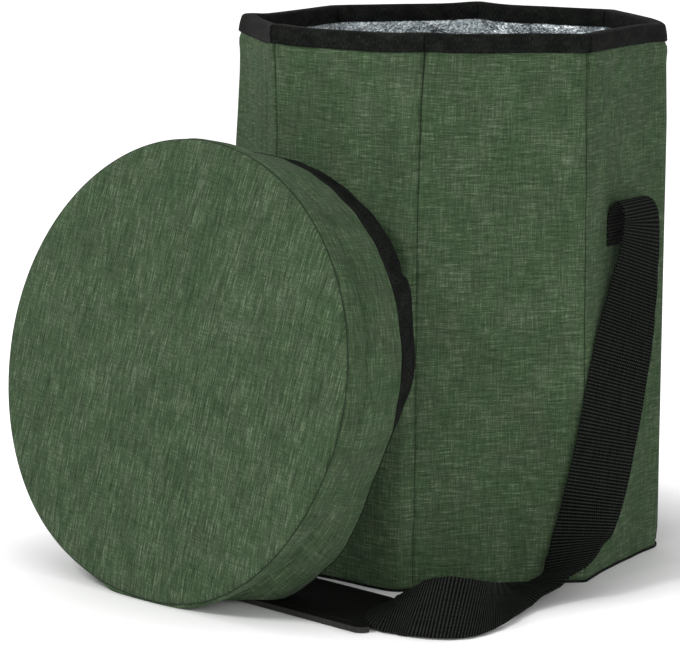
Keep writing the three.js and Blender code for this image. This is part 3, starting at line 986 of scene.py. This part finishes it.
def base_binding():
    high = BASE_TAPE_HIGH
    profile = [(-0.7, 0.1), (-1.05, 0.35), (-1.2, 0.8)]
    profile += [(-1.2, high - 0.7), (-1.05, high - 0.25), (-0.8, high)]
    points, faces, uvs = tape_hoop(profile, 0.5, 0.2, 0)
    points = [Vector((p.x, p.y, max(p.z, 0))) for p in points]
    piece("base_tape", points, faces, uvs, TAPE, "black_binding", "root", ["base_binding"])


def octagon_sheet(name, node, depth, crease, material, slot, sharp=35.0):
    """A sheet over the octagon inside the walls; crease lifts its upper face."""
    low, high = box_of(node)

    def level(ring, angle, z):
        k, part = divmod(angle / TURN, 1)
        point = tub_point(int(k) % len(SIDES), depth, 2 * part - 1, z) * ring
        point.z = z
        return point

    def spot(inside, ring, angle):
        point = level(ring, angle, low.z if inside else high.z)
        if not inside:
            fade = 1 - smooth(0.8, 1, ring)
            point.z += crease * fade * abs(wobble(point.x / 11, point.y / 11, 4.2))
        return point

    def uv(ring, angle):
        return level(ring, angle, high.z).xy

    disc = closed_disc(evenly(0, 1, BASE_RINGS), BASE_STEPS, spot, uv)
    piece(name, *disc, material, slot, "root", [node], sharp)


def wall_foil():
    """The liner's wall, crumpled inward below the binding."""
    def spot(inside, place, z):
        along = way_round(*place, FOIL_HALF)
        fade = (1 - smooth(RIM_LOW - 4, RIM_LOW + 3, z)) * smooth(0, 20, z - LINER_LOW)
        large = 3.4 * abs(wobble(along / 24, z / 30, 2.2))
        small = 0.8 * abs(wobble(along / 9, z / 9, 6.1))
        pleat = 1.6 * exp(-((1 - abs(place[1])) * 60 / 2.5) ** 2)
        crumple = fade * (large + small + pleat) + 0.4 * inside
        return tub_point(place[0], WALL_T - LINER_T + crumple, place[1], z)

    def uv(place, z):
        return way_round(*place, FOIL_HALF), z

    places = tub_places(evenly(-1, 1, FOIL_COLUMNS))
    heights = [WALL_HIGH - (WALL_HIGH - LINER_LOW) * down ** 1.15 for down in evenly(1, 0, FOIL_ROWS)]
    sheet = closed_sheet(places, heights, spot, uv, hoop=True)
    piece("wall_foil", *sheet, FOIL, "foil_lining", "root", ["liner_wall"], FOIL_SHARP)


# Lid

tip = next(joint for joint in record["behaviour"]["joints"] if joint["name"] == "lid_tip")
LID_LEAN = radians(tip["range_deg"][1] - 90)
lid_aside = Vector(tip["axis"]).normalized()
lid_level = Vector((lid_aside.y, -lid_aside.x, 0))
lid_out = lid_level * cos(LID_LEAN) + UP * sin(LID_LEAN)
lid_up = lid_out.cross(lid_aside)
board_low, board_high = box_of("lid_board")
lid_centre = (board_low + board_high) / 2 + lid_out * LID_BOARD_DEPTH


def in_lid(x, y, depth):
    return lid_centre + lid_aside * x + lid_up * y - lid_out * depth


def rest_line(depth, height):
    """How far down the lid's face a height above the floor lies, at a depth."""
    return -(lid_centre.z - depth * sin(LID_LEAN) - height) / cos(LID_LEAN)


def slack(angle, low, high):
    """1 at the lower right of the lid, where the skirt hangs loose, and 0 elsewhere."""
    return smooth(low, high, -sin(angle)) * smooth(-0.1, 0.3, cos(angle))


def turned_by(angle):
    return degrees(atan2(sin(angle), cos(angle)))


def lid_radial(angle):
    return lid_aside * cos(angle) + lid_up * sin(angle)


def face_radius(angle):
    return LID_RADIUS - 0.5 + table(FACE_STRAY, turned_by(angle), True)


def lid_side(angle, depth, inset=0.0):
    """A point of the lid's side at an angle round it and a depth in from its face."""
    across_x, across_y = polar(1, angle)
    turned = turned_by(angle)
    skirt = max(0, (depth - LID_CREASE) / (HEM_BOTTOM - LID_CREASE))
    hang = part_of(LID_CREASE, LID_BOXING_DEPTH, depth)
    hem = part_of(HEM_TOP, HEM_BOTTOM, depth)
    padded = min(1, depth / LID_CREASE)
    drawn = LID_RADIUS + LID_SWELL * sin(pi * padded) - CREASE_DRAW * padded ** 3
    roll = 1.8 * exp(-(depth - SEAM_DEPTH) / 1.1)
    loose = 1.6 * skirt * wobble(1.9 * across_x, 1.9 * across_y, depth / 60)
    pucker = 0.7 * smooth(0.6, 1, skirt / 0.7) * wobble(11 * across_x, 11 * across_y, 3.3)
    crease = -3.6 * exp(-((depth - CREASE_AT) / 3) ** 2)
    ripple = 0.8 * wobble(8 * across_x, 8 * across_y, depth / 30)
    stray = table(SKIRT_STRAY, turned) * skirt + table(HEM_STRAY, turned) * smooth(0, 0.5, hem)
    tuck = HEM_TUCK * hem * slack(angle, -0.15, 0.3)
    below = part_of(SEAM_DEPTH, CREASE_AT, depth)
    belly = table(BELLY, turned, True) * sin(pi * sqrt(below))
    stretch = table(FACE_STRAY, turned, True) * (1 - padded)
    extra = loose + pucker + crease + ripple + stray + belly + stretch - roll - tuck - inset
    sag = HEM_SAG * sin(pi / 2 * hang) * slack(angle, 0.32, 0.6)
    x = (drawn + (HEM_HALF_WIDTH - drawn) * skirt + extra) * across_x
    y = HEM_LIFT * skirt + (drawn + (HEM_HALF_HEIGHT - drawn) * skirt + extra) * across_y - sag
    over_pad = smooth(LID_CREASE - 2, LID_CREASE + 14, depth)
    height = FLOOR_GAP + (PAD_TOP + 0.3 - FLOOR_GAP) * over_pad
    rest = rest_line(depth, height) + max(0, inset)
    return in_lid(x, max(y, rest), depth)


def lid_hoop(depths_at, proud, thickness):
    depths = depths_at(0)

    def spot(inside, angle, j):
        return lid_side(angle, depths_at(angle)[j], thickness if inside else -proud)

    def uv(angle, j):
        return angle * LID_RADIUS, depths[j]

    return closed_sheet(evenly(0, tau, LID_STEPS), range(len(depths)), spot, uv, hoop=True)


def lid_boxing():
    steps = (0, 0.4, 0.9, 1.5, 2.3, 3.5, 6, 9, 12, 14, 16, 17.5, 18.8, 20, 21, 22, 23, 24, 25.2, 26.6, 28)
    depths = [SEAM_DEPTH + step for step in steps]
    depths += evenly(depths[-1], LID_BOXING_DEPTH, 14)[1:]
    hoop = lid_hoop(lambda angle: depths, 0.0, LID_COVER_T)
    piece("lid_side_cloth", *hoop, SIDE_CLOTH, "green_fabric", "lid", ["lid_boxing"])


def lid_hem():
    def top(angle):
        return HEM_TOP - table(HEM_LAP, degrees(angle))

    def depths_at(angle):
        return evenly(top(angle), HEM_BOTTOM, 10)

    hoop = lid_hoop(depths_at, HEM_PROUD, HEM_T)
    piece("lid_hem_tape", *hoop, TAPE, "black_binding", "lid", ["lid_hem_binding"])
    marks = []
    for dash in dashes(HEM_STITCHES):
        angles = [tau * at for at in dash]
        ends = [lid_side(angle, top(angle) + 2, -HEM_PROUD) for angle in angles]
        marks.append((*ends, lid_radial(angles[0])))
    stitches("hem_stitches", marks, "black_binding", "lid")


FACE_RINGS = evenly(0, 0.9, 40)
FACE_RINGS += [0.918, 0.935, 0.95, 0.963, 0.973, 0.981, 0.987, 0.991, 0.994, 0.9965, 0.9985, 1.0]


def lid_face():
    """The padded face: a low crown that rolls down into the seam, and one wrinkle at its left."""
    def height(x, y):
        radius = hypot(x, y)
        crown = LID_CROWN * (1 - (radius / LID_RADIUS) ** 4)
        edge = LID_RADIUS - radius
        roll = SEAM_DEPTH * exp(-edge / 0.9)
        pucker = 0.25 * exp(-edge / 12) * wobble(x / 12, y / 12, 1.9)
        soft = 0.45 * wobble(x / 60, y / 60, 9.1)
        off = (y - WRINKLE_LINE) / WRINKLE_WIDTH
        wrinkle = WRINKLE_RISE * (exp(-off ** 2) - 0.8 * exp(-(off + 1.6) ** 2))
        wrinkle *= smooth(-165, -150, x) * (1 - smooth(-110, -70, x))
        return crown - roll + (pucker + soft + wrinkle) * smooth(0, 4, edge)

    def uv(ring, angle):
        return polar(ring * LID_RADIUS, angle)

    def spot(inside, ring, angle):
        x, y = polar(ring * face_radius(angle), angle)
        sink = inside * LID_COVER_T - height(*uv(ring, angle))
        return in_lid(x, max(y, rest_line(0, FLOOR_GAP)), sink)

    disc = closed_disc(FACE_RINGS, LID_STEPS, spot, uv)
    face = piece("lid_face_cloth", *disc, LID_CLOTH, "green_fabric", "lid", ["lid_top_cover"])
    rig.padded(face, fill=0.7)


def lid_seam():
    """Dark thread in the groove between the lid's face and its side; it also stands in for the groove's shade, as
    painted shade.
    """
    line = []
    for angle in evenly(0, tau, LID_STEPS)[:-1]:
        radial = lid_radial(angle)
        x, y = polar(face_radius(angle), angle)
        depth = SEAM_DEPTH - 0.3
        middle = in_lid(x, max(y, rest_line(depth, FLOOR_GAP) + 1.2), depth)
        slant = SEAM_SHADE_HALF_WIDTH / sqrt(2)
        line.append((middle, (radial - lid_out) * slant, (radial + lid_out) * slant))
    piece("lid_seam_thread", *thread_line(line, True), SEAM_SHADE_THREAD, "green_fabric", "lid")


def lid_lining():
    def uv(ring, angle):
        return polar(LINING_RADIUS * ring, angle)

    def spot(inside, ring, angle):
        x, y = uv(ring, angle)
        loose = 1 - smooth(0.85, 1, ring)
        crinkle = 1.1 * loose * abs(wobble(x / 16, y / 16, 5.5))
        return in_lid(x, y, LID_LINING_DEPTH + inside * (0.5 + crinkle))

    disc = closed_disc(evenly(0, 1, LINING_RINGS), LINING_STEPS, spot, uv)
    piece("lid_foil", *disc, FOIL, "foil_lining", "lid", ["lid_lining"], FOIL_SHARP)


# Strap: pairs of points on its two edges, from the walls that they pass

side_wall = wall_at((SEWN_FROM + SEWN_TO) / 2)
front_wall = wall_at(0)
pad_line = (box_of("strap_pad_run")[0].z + box_of("strap_pad_run")[1].z) / 2


def beside(sign, front=False):
    """Places out from a side wall, along it or ahead of the front wall, and up."""
    def place(out, along, up):
        y = -front_wall - along if front else along
        return Vector((sign * (side_wall + out), y, up))

    return place


right_side = beside(1)
left_side = beside(-1)
right_front = beside(1, front=True)
left_front = beside(-1, front=True)


def sewn_edges(side, up):
    return [side(TAPE_GAP + STRAP_T / 2, SEWN_ASIDE + edge, up) for edge in STRAP_EDGES]


mouth_right = right_front(-58, 82, pad_line)
mouth_left = left_front(18, 32, pad_line)
pad_axis = (mouth_left - mouth_right).normalized()
pad_across = Vector((pad_axis.y, -pad_axis.x, 0))


def run_edges(mouth, along):
    return [mouth + pad_axis * along - pad_across * edge for edge in STRAP_EDGES]


def edge_rows(place, *rows):
    """Pairs of points from rows that hold the place on one edge and then on the other."""
    return [(place(*row[:3]), place(*row[3:])) for row in rows]


def loop_rows(side):
    return [
        sewn_edges(side, SEWN_FROM),
        sewn_edges(side, SEWN_TO),
        *edge_rows(
            side,
            (1.6, -30, 270.5, 1.6, 14, 270.5),
            (4.2, -30, 276.2, 4.8, 14, 276.4),
            (8.6, -30, 278.8, 10.5, 14, 279),
            (12.6, -30, 276, 16.4, 13.8, 276.3),
            (14.6, -30.2, 268.5, 20.4, 13.5, 269),
        ),
    ]


RIGHT_ROUTE = [
    *loop_rows(right_side),
    *edge_rows(
        right_side,
        (14.4, -30.3, 260, 22.5, 12.4, 251.5),
        (12.6, -30.7, 246, 23.6, 9.7, 232.1),
        (7.8, -38.2, 215.8, 28, -2.1, 200.8),
        (5.7, -45.2, 197, 32.7, -14.2, 181.4),
        (4.5, -54.3, 174, 36.3, -26.9, 160.7),
        (3.7, -68.1, 132.8, 37.6, -42.4, 121.7),
        (2.3, -74, 110.2, 36.2, -47, 102.5),
        (-1.5, -79.4, 78.5, 34.5, -57.3, 72.5),
        (-8.7, -82.9, 43.5, 31, -69, 44.8),
        (-10, -91, 24, 30, -88, 35),
        (-10.5, -98, 12, 28, -102, 26),
    ),
    *edge_rows(
        right_front,
        (-19, -47, 6, 22, -38, 20),
        (-23.1, -41, 5.6, 17, -26, 12.5),
        (-24.4, -33, 7.2, 13, -10, 9.5),
        (-23, -20, 10.4, 10.2, 5, 5),
        (-16.8, -0.3, 16.3, 12.9, 29.7, 4),
        (-9.9, 19.5, 22.2, 14, 51, 3),
        (-4.2, 35.6, 27.1, 12.5, 67.7, 2),
        (-0.2, 52.8, 32.3, 8.2, 83, 1.4),
        (-3.5, 69, 37.6, 0, 93.5, 1.2),
        (-12.6, 79, 40, -10.3, 100.3, 1.4),
        (-24.6, 78.1, 36.9, -20.9, 104.1, 1.6),
        (-33.4, 77, 33, -31.4, 105.3, 1.6),
        (-42.8, 72.9, 26.8, -36.5, 105.8, 1.6),
        (-51.6, 69, 22.6, -41, 106.4, 1.6),
        (-60.4, 67.9, 16.6, -47.5, 107, 1.6),
        (-67, 65.1, 12, -57.5, 106, 2.4),
        (-75.5, 59.8, 6.2, -73.6, 101.4, 3.9),
    ),
    run_edges(mouth_right, STRAP_LEVEL),
]

LEFT_ROUTE = [
    *loop_rows(left_side),
    *edge_rows(
        left_side,
        (15, -30.5, 255, 20.5, 13, 257),
        (15.5, -31.5, 235, 20, 12.2, 236),
        (17, -34, 190, 19, 10, 191),
        (18, -43.5, 129, 26, 0, 131),
        (18, -53.5, 74, 38, -14.5, 76.5),
        (19, -62, 38, 51, -32, 43),
        (21, -68, 18, 60, -49, 25),
        (27, -78, 10, 69, -66, 12),
        (33, -94, 20, 73, -90, 3),
    ),
    *edge_rows(
        left_front,
        (45, -29, 31, 77, -32, 1.2),
        (57, -3, 38, 79, -4, 1.2),
        (54, 10, 38, 74, 19, 1.2),
        (47, 13, 33, 61, 39, 1.2),
        (35, 12, 20, 43, 50, 1.6),
    ),
    run_edges(mouth_left, MOUTH_LEAD),
    run_edges(mouth_left, 0),
]


def through(points, steps):
    """Points along a centripetal Catmull-Rom curve, with steps from each given point to the next."""
    ends = [2 * points[0] - points[1], *points, 2 * points[-1] - points[-2]]
    line = []
    for p0, p1, p2, p3 in zip(ends, ends[1:], ends[2:], ends[3:]):
        d0, d1, d2 = (sqrt((b - a).length) for a, b in ((p0, p1), (p1, p2), (p2, p3)))
        t1 = ((p1 - p0) / d0 - (p2 - p0) / (d0 + d1) + (p2 - p1) / d1) * d1
        t2 = ((p2 - p1) / d1 - (p3 - p1) / (d1 + d2) + (p3 - p2) / d2) * d1
        square = 3 * p2 - 3 * p1 - 2 * t1 - t2
        cube = 2 * p1 - 2 * p2 + t1 + t2
        for w in evenly(0, 1, steps)[:-1]:
            line.append(p1 + t1 * w + square * w ** 2 + cube * w ** 3)
    return line + [points[-1]]


def strap_stations():
    """Centre, half-width direction and length so far, at even steps from one sewn end to the other."""
    rows = RIGHT_ROUTE + LEFT_ROUTE[::-1]
    middles = through([(a + b) / 2 for a, b in rows], ROW_STEPS)
    widths = [(b - a).normalized() for a, b in rows]
    for i in range(len(RIGHT_ROUTE), len(widths)):
        if widths[i].dot(widths[i - 1]) < 0:
            widths[i] = -widths[i]
    wides = []
    for a, b in zip(widths, widths[1:]):
        wides += [a.lerp(b, smooth(0, 1, share)) for share in evenly(0, 1, ROW_STEPS)[:-1]]
    wides.append(widths[-1])
    lengths = lengths_along(middles)
    count = round(lengths[-1] / RIB_PITCH) * STEPS_PER_RIB
    stations = []
    at = 0
    for i in range(count + 1):
        length = lengths[-1] * i / count
        while at < len(lengths) - 2 and lengths[at + 1] < length:
            at += 1
        share = (length - lengths[at]) / (lengths[at + 1] - lengths[at])
        centre = middles[at].lerp(middles[at + 1], share)
        wide = wides[at].lerp(wides[at + 1], share).normalized()
        stations.append((centre, wide, length))
    return stations


STRAP_COLUMNS = mirrored([1, 0.985, 0.955, 0.91, 0.84, 0.7, 0.5, 0.25], [0])


def strap():
    stations = strap_stations()

    def spot(inside, i, share):
        centre, wide, length = stations[i]
        ahead = stations[min(i + 1, len(stations) - 1)][0] - stations[max(i - 1, 0)][0]
        thick = ahead.cross(wide).normalized()
        rib = RIB_HEIGHT * sin(tau * length / RIB_PITCH)
        edge = 1 - abs(share)
        body = STRAP_T / 2 * sqrt(min(1, 0.3 + edge / 0.06)) + rib * smooth(0.02, 0.07, edge)
        point = centre + wide * share * STRAP_WIDTH / 2 + thick * (-body if inside else body)
        point.z = max(point.z, 0.1)
        return point

    def uv(i, share):
        return share * STRAP_WIDTH / 2, stations[i][2]

    sheet = closed_sheet(range(len(stations)), STRAP_COLUMNS, spot, uv)
    nodes = ["strap_anchor_right", "strap_right", "strap_pad_run", "strap_left", "strap_anchor_left"]
    made = piece("strap_webbing", *sheet, WEBBING, "black_webbing", "root", nodes, 70)
    path = [centre * MM for centre, _, _ in (*stations[::8], stations[-1])]
    return made, path, stations[-1][2] * MM


# Shoulder pad

def pad_rounding(aside):
    """How much of a rounded edge's drop a place has, 1 at the pad's edge."""
    return exp(-(PAD_WIDTH / 2 - abs(aside)) / PAD_EDGE_ROUND)


def pad_place(along, aside):
    """A place on the floor under the pad; its ends slant or bow in and its corners are rounded."""
    half = PAD_WIDTH / 2
    bow = 3.5 * (1 - (aside / half) ** 2)
    inward = table(PAD_MOUTH, aside) * (1 - smooth(0, 60, along))
    inward += 2 * smooth(0, 60, along) - bow * smooth(PAD_LENGTH - 25, PAD_LENGTH, along)
    short = max(0, PAD_CORNER - min(along, PAD_LENGTH - along))
    narrow = 1 - (PAD_CORNER - sqrt(PAD_CORNER ** 2 - short ** 2)) / half
    start = Vector((mouth_right.x, mouth_right.y, 0))
    return start + pad_axis * (along + inward) + pad_across * aside * narrow


def pad_layer(*heights):
    """A layer of the pad between two heights, upper and lower, each given at a place across."""
    rows = [PAD_LENGTH * (1 - cos(turn)) / 2 for turn in evenly(0, pi, PAD_ROWS)]
    columns = [PAD_WIDTH / 2 * sin(turn) for turn in evenly(-pi / 2, pi / 2, 2 * PAD_COLUMNS)]

    def spot(inside, along, aside):
        lift = 0.15 * (1 - pad_rounding(aside)) * wobble(along / 20, aside / 16, 2.5)
        return pad_place(along, aside) + UP * (heights[inside](aside) + lift)

    return closed_sheet(rows, columns, spot, lambda along, aside: (aside, along))


def shoulder_pad():
    base_low = box_of("pad_base")[0].z
    channel = pad_line - STRAP_T / 2 - 0.3

    def sleeve_top(aside):
        return PAD_TOP - 0.5 * pad_rounding(aside)

    def body_top(aside):
        full = smooth(STRAP_WIDTH / 2 + 0.8, STRAP_WIDTH / 2 + 3.2, abs(aside))
        return channel + (PAD_TOP - PAD_COVER - 0.15 - channel) * full - 0.5 * pad_rounding(aside)

    body = pad_layer(body_top, lambda aside: base_low + 0.3 * pad_rounding(aside))
    sleeve = pad_layer(sleeve_top, lambda aside: sleeve_top(aside) - PAD_COVER)
    worn = ("black_pad_cloth", "shoulder_pad")
    # The paler copy of the pad's cloth paints light onto the pad's side.
    lower = piece("pad_underside", *body, PAD_SIDE_LIT, *worn, ["pad_base", "pad_foam"])
    upper = piece("pad_sleeve_cloth", *sleeve, PAD_CLOTH, *worn, ["pad_sleeve"])
    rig.padded(lower, fill=0.5)
    marks = []
    for aside in (PAD_STITCH_LINE, -PAD_STITCH_LINE):
        lift = UP * (sleeve_top(aside) + 0.1)
        for dash in dashes(PAD_STITCHES):
            spots = [PAD_CORNER + (PAD_LENGTH - 2 * PAD_CORNER) * at for at in dash]
            marks.append((*(pad_place(along, aside) + lift for along in spots), UP))
    sewn = stitches("pad_stitches", marks, *worn)
    return [lower, upper, sewn]


def strap_ends():
    """Box and cross stitching that holds the strap's two ends."""
    low, high = SEWN_FROM + 2, SEWN_TO - 3
    near, far = SEWN_ASIDE - 19, SEWN_ASIDE + 19
    corners = ((near, low), (far, low), (far, high), (near, high), (near, low), (far, high))
    lines = [*zip(corners, corners[1:]), ((far, low), (near, high))]
    out = TAPE_GAP + STRAP_T + RIB_HEIGHT
    marks = []
    for side in (right_side, left_side):
        outward = side(1, 0, 0) - side(0, 0, 0)
        for (y0, z0), (y1, z1) in lines:
            for dash in dashes(round(hypot(y1 - y0, z1 - z0) / END_STITCH)):
                ends = [side(out, y0 + (y1 - y0) * at, z0 + (z1 - z0) * at) for at in dash]
                marks.append((*ends, outward))
    stitches("strap_stitches", marks, "black_webbing", "root")


# Inner pieces keep their solids

def dress_inner_nodes():
    looks = {"stiffener_board": BOARD, "white_foam": FOAM}
    for subpart in record["subparts"]:
        look = looks.get(subpart["material_slot"])
        if look:
            mesh = frame["nodes"][subpart["node"]].data
            mesh.materials.clear()
            mesh.materials.append(look)


# Camera, floor and light

def camera():
    forward = CAMERA_HEADING.normalized() * cos(CAMERA_PITCH) - UP * sin(CAMERA_PITCH)
    lens = bpy.data.cameras.new("photo_camera")
    lens.sensor_fit = "HORIZONTAL"
    lens.sensor_width = SENSOR_WIDTH
    lens.lens = FOCAL_PIXELS * SENSOR_WIDTH / IMAGE_WIDTH
    lens.clip_end = 50
    made = placed("photo_camera", lens)
    aim = forward.to_track_quat("-Z", "Y").to_matrix() @ Matrix.Rotation(-CAMERA_ROLL, 3, "Z")
    made.matrix_world = Matrix.Translation(CAMERA_PLACE) @ aim.to_4x4()
    bpy.context.scene.camera = made


def seen_directly(shader):
    """1 for rays from the camera, a mirror or glass, and 0 for light."""
    path = shader.node("ShaderNodeLightPath")
    seen = shader.math("MAXIMUM", path.outputs["Is Camera Ray"], path.outputs["Is Glossy Ray"])
    return shader.math("MAXIMUM", seen, path.outputs["Is Transmission Ray"])


def floor():
    shader = Shader("pale_floor")
    # The glow for direct rays keeps the floor white, and ambient occlusion dims it near the pieces: a contact shadow
    # painted onto the floor.
    near_sky = shader.node("ShaderNodeAmbientOcclusion", {"Distance": 0.15}, samples=8).outputs["AO"]
    open_sky = shader.math("POWER", near_sky, 4)
    glow = shader.math("MULTIPLY", shader.math("MULTIPLY", seen_directly(shader), open_sky), 0.7)
    pale = shader.finish(
        Base_Color=(0.95, 0.95, 0.95, 1), Roughness=1.0, Specular_IOR_Level=0.0,
        Emission_Color=(1, 1, 1, 1), Emission_Strength=glow,
    )
    half = 6.0
    mesh = bpy.data.meshes.new("floor")
    corners = [(-half, -half, 0), (half, -half, 0), (half, half, 0), (-half, half, 0)]
    mesh.from_pydata(corners, [], [(0, 1, 2, 3)])
    mesh.materials.append(pale)
    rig.stage(placed("floor", mesh))


def lamp(name, place, aim, size, power):
    light = bpy.data.lights.new(name, "AREA")
    light.shape = "DISK"
    light.size = size
    light.energy = power
    made = placed(name, light)
    made.location = place
    made.rotation_euler = (Vector(aim) - Vector(place)).to_track_quat("-Z", "Y").to_euler()


def studio():
    sky = Shader("studio", bpy.data.worlds, "Background")
    level = sky.node("ShaderNodeMapRange", {"Value": seen_directly(sky), "To Min": 0.45, "To Max": 1.0})
    bpy.context.scene.world = sky.finish(Color=(1, 1, 1, 1), Strength=level.outputs["Result"])
    lamp("key", (-1.1, -2.0, 2.3), (0, -0.1, 0.15), 1.0, 42)
    lamp("fill", (1.55, -1.45, 0.65), (0, -0.1, 0.15), 1.2, 15)
    lamp("side", (-2.2, -1.0, 1.4), (0, 0, 0.2), 1.6, 2)
    bpy.context.scene.view_settings.view_transform = "Standard"


camera()
webbing_strip, strap_path, strap_length = strap()
pad_pieces = shoulder_pad()
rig.cord(
    webbing_strip, exit=strap_path[0], length=strap_length, diameter=STRAP_WIDTH * MM, far_end="object",
    stiffness="limp", lay="loose", path=strap_path, with_pieces=pad_pieces,
)
strap_ends()
for panel in PANELS:
    outer_panel(panel)
    stiffener_board(panel)
wall_seams()
rim_binding()
base_binding()
octagon_sheet("base_cloth", "base_cover", 0.0, 0.0, TAPE, "black_binding")
octagon_sheet("floor_foil", "base_liner", 7.6, 1.8, FOIL, "foil_lining", FOIL_SHARP)
wall_foil()
lid_face()
lid_boxing()
lid_hem()
lid_seam()
lid_lining()
dress_inner_nodes()
floor()
studio()

with open("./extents.json", "w") as sizes:
    boxes = {"cad": cad_box, "visual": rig.bounds()}
    json.dump({name: [list(corner) for corner in box] for name, box in boxes.items()}, sizes)
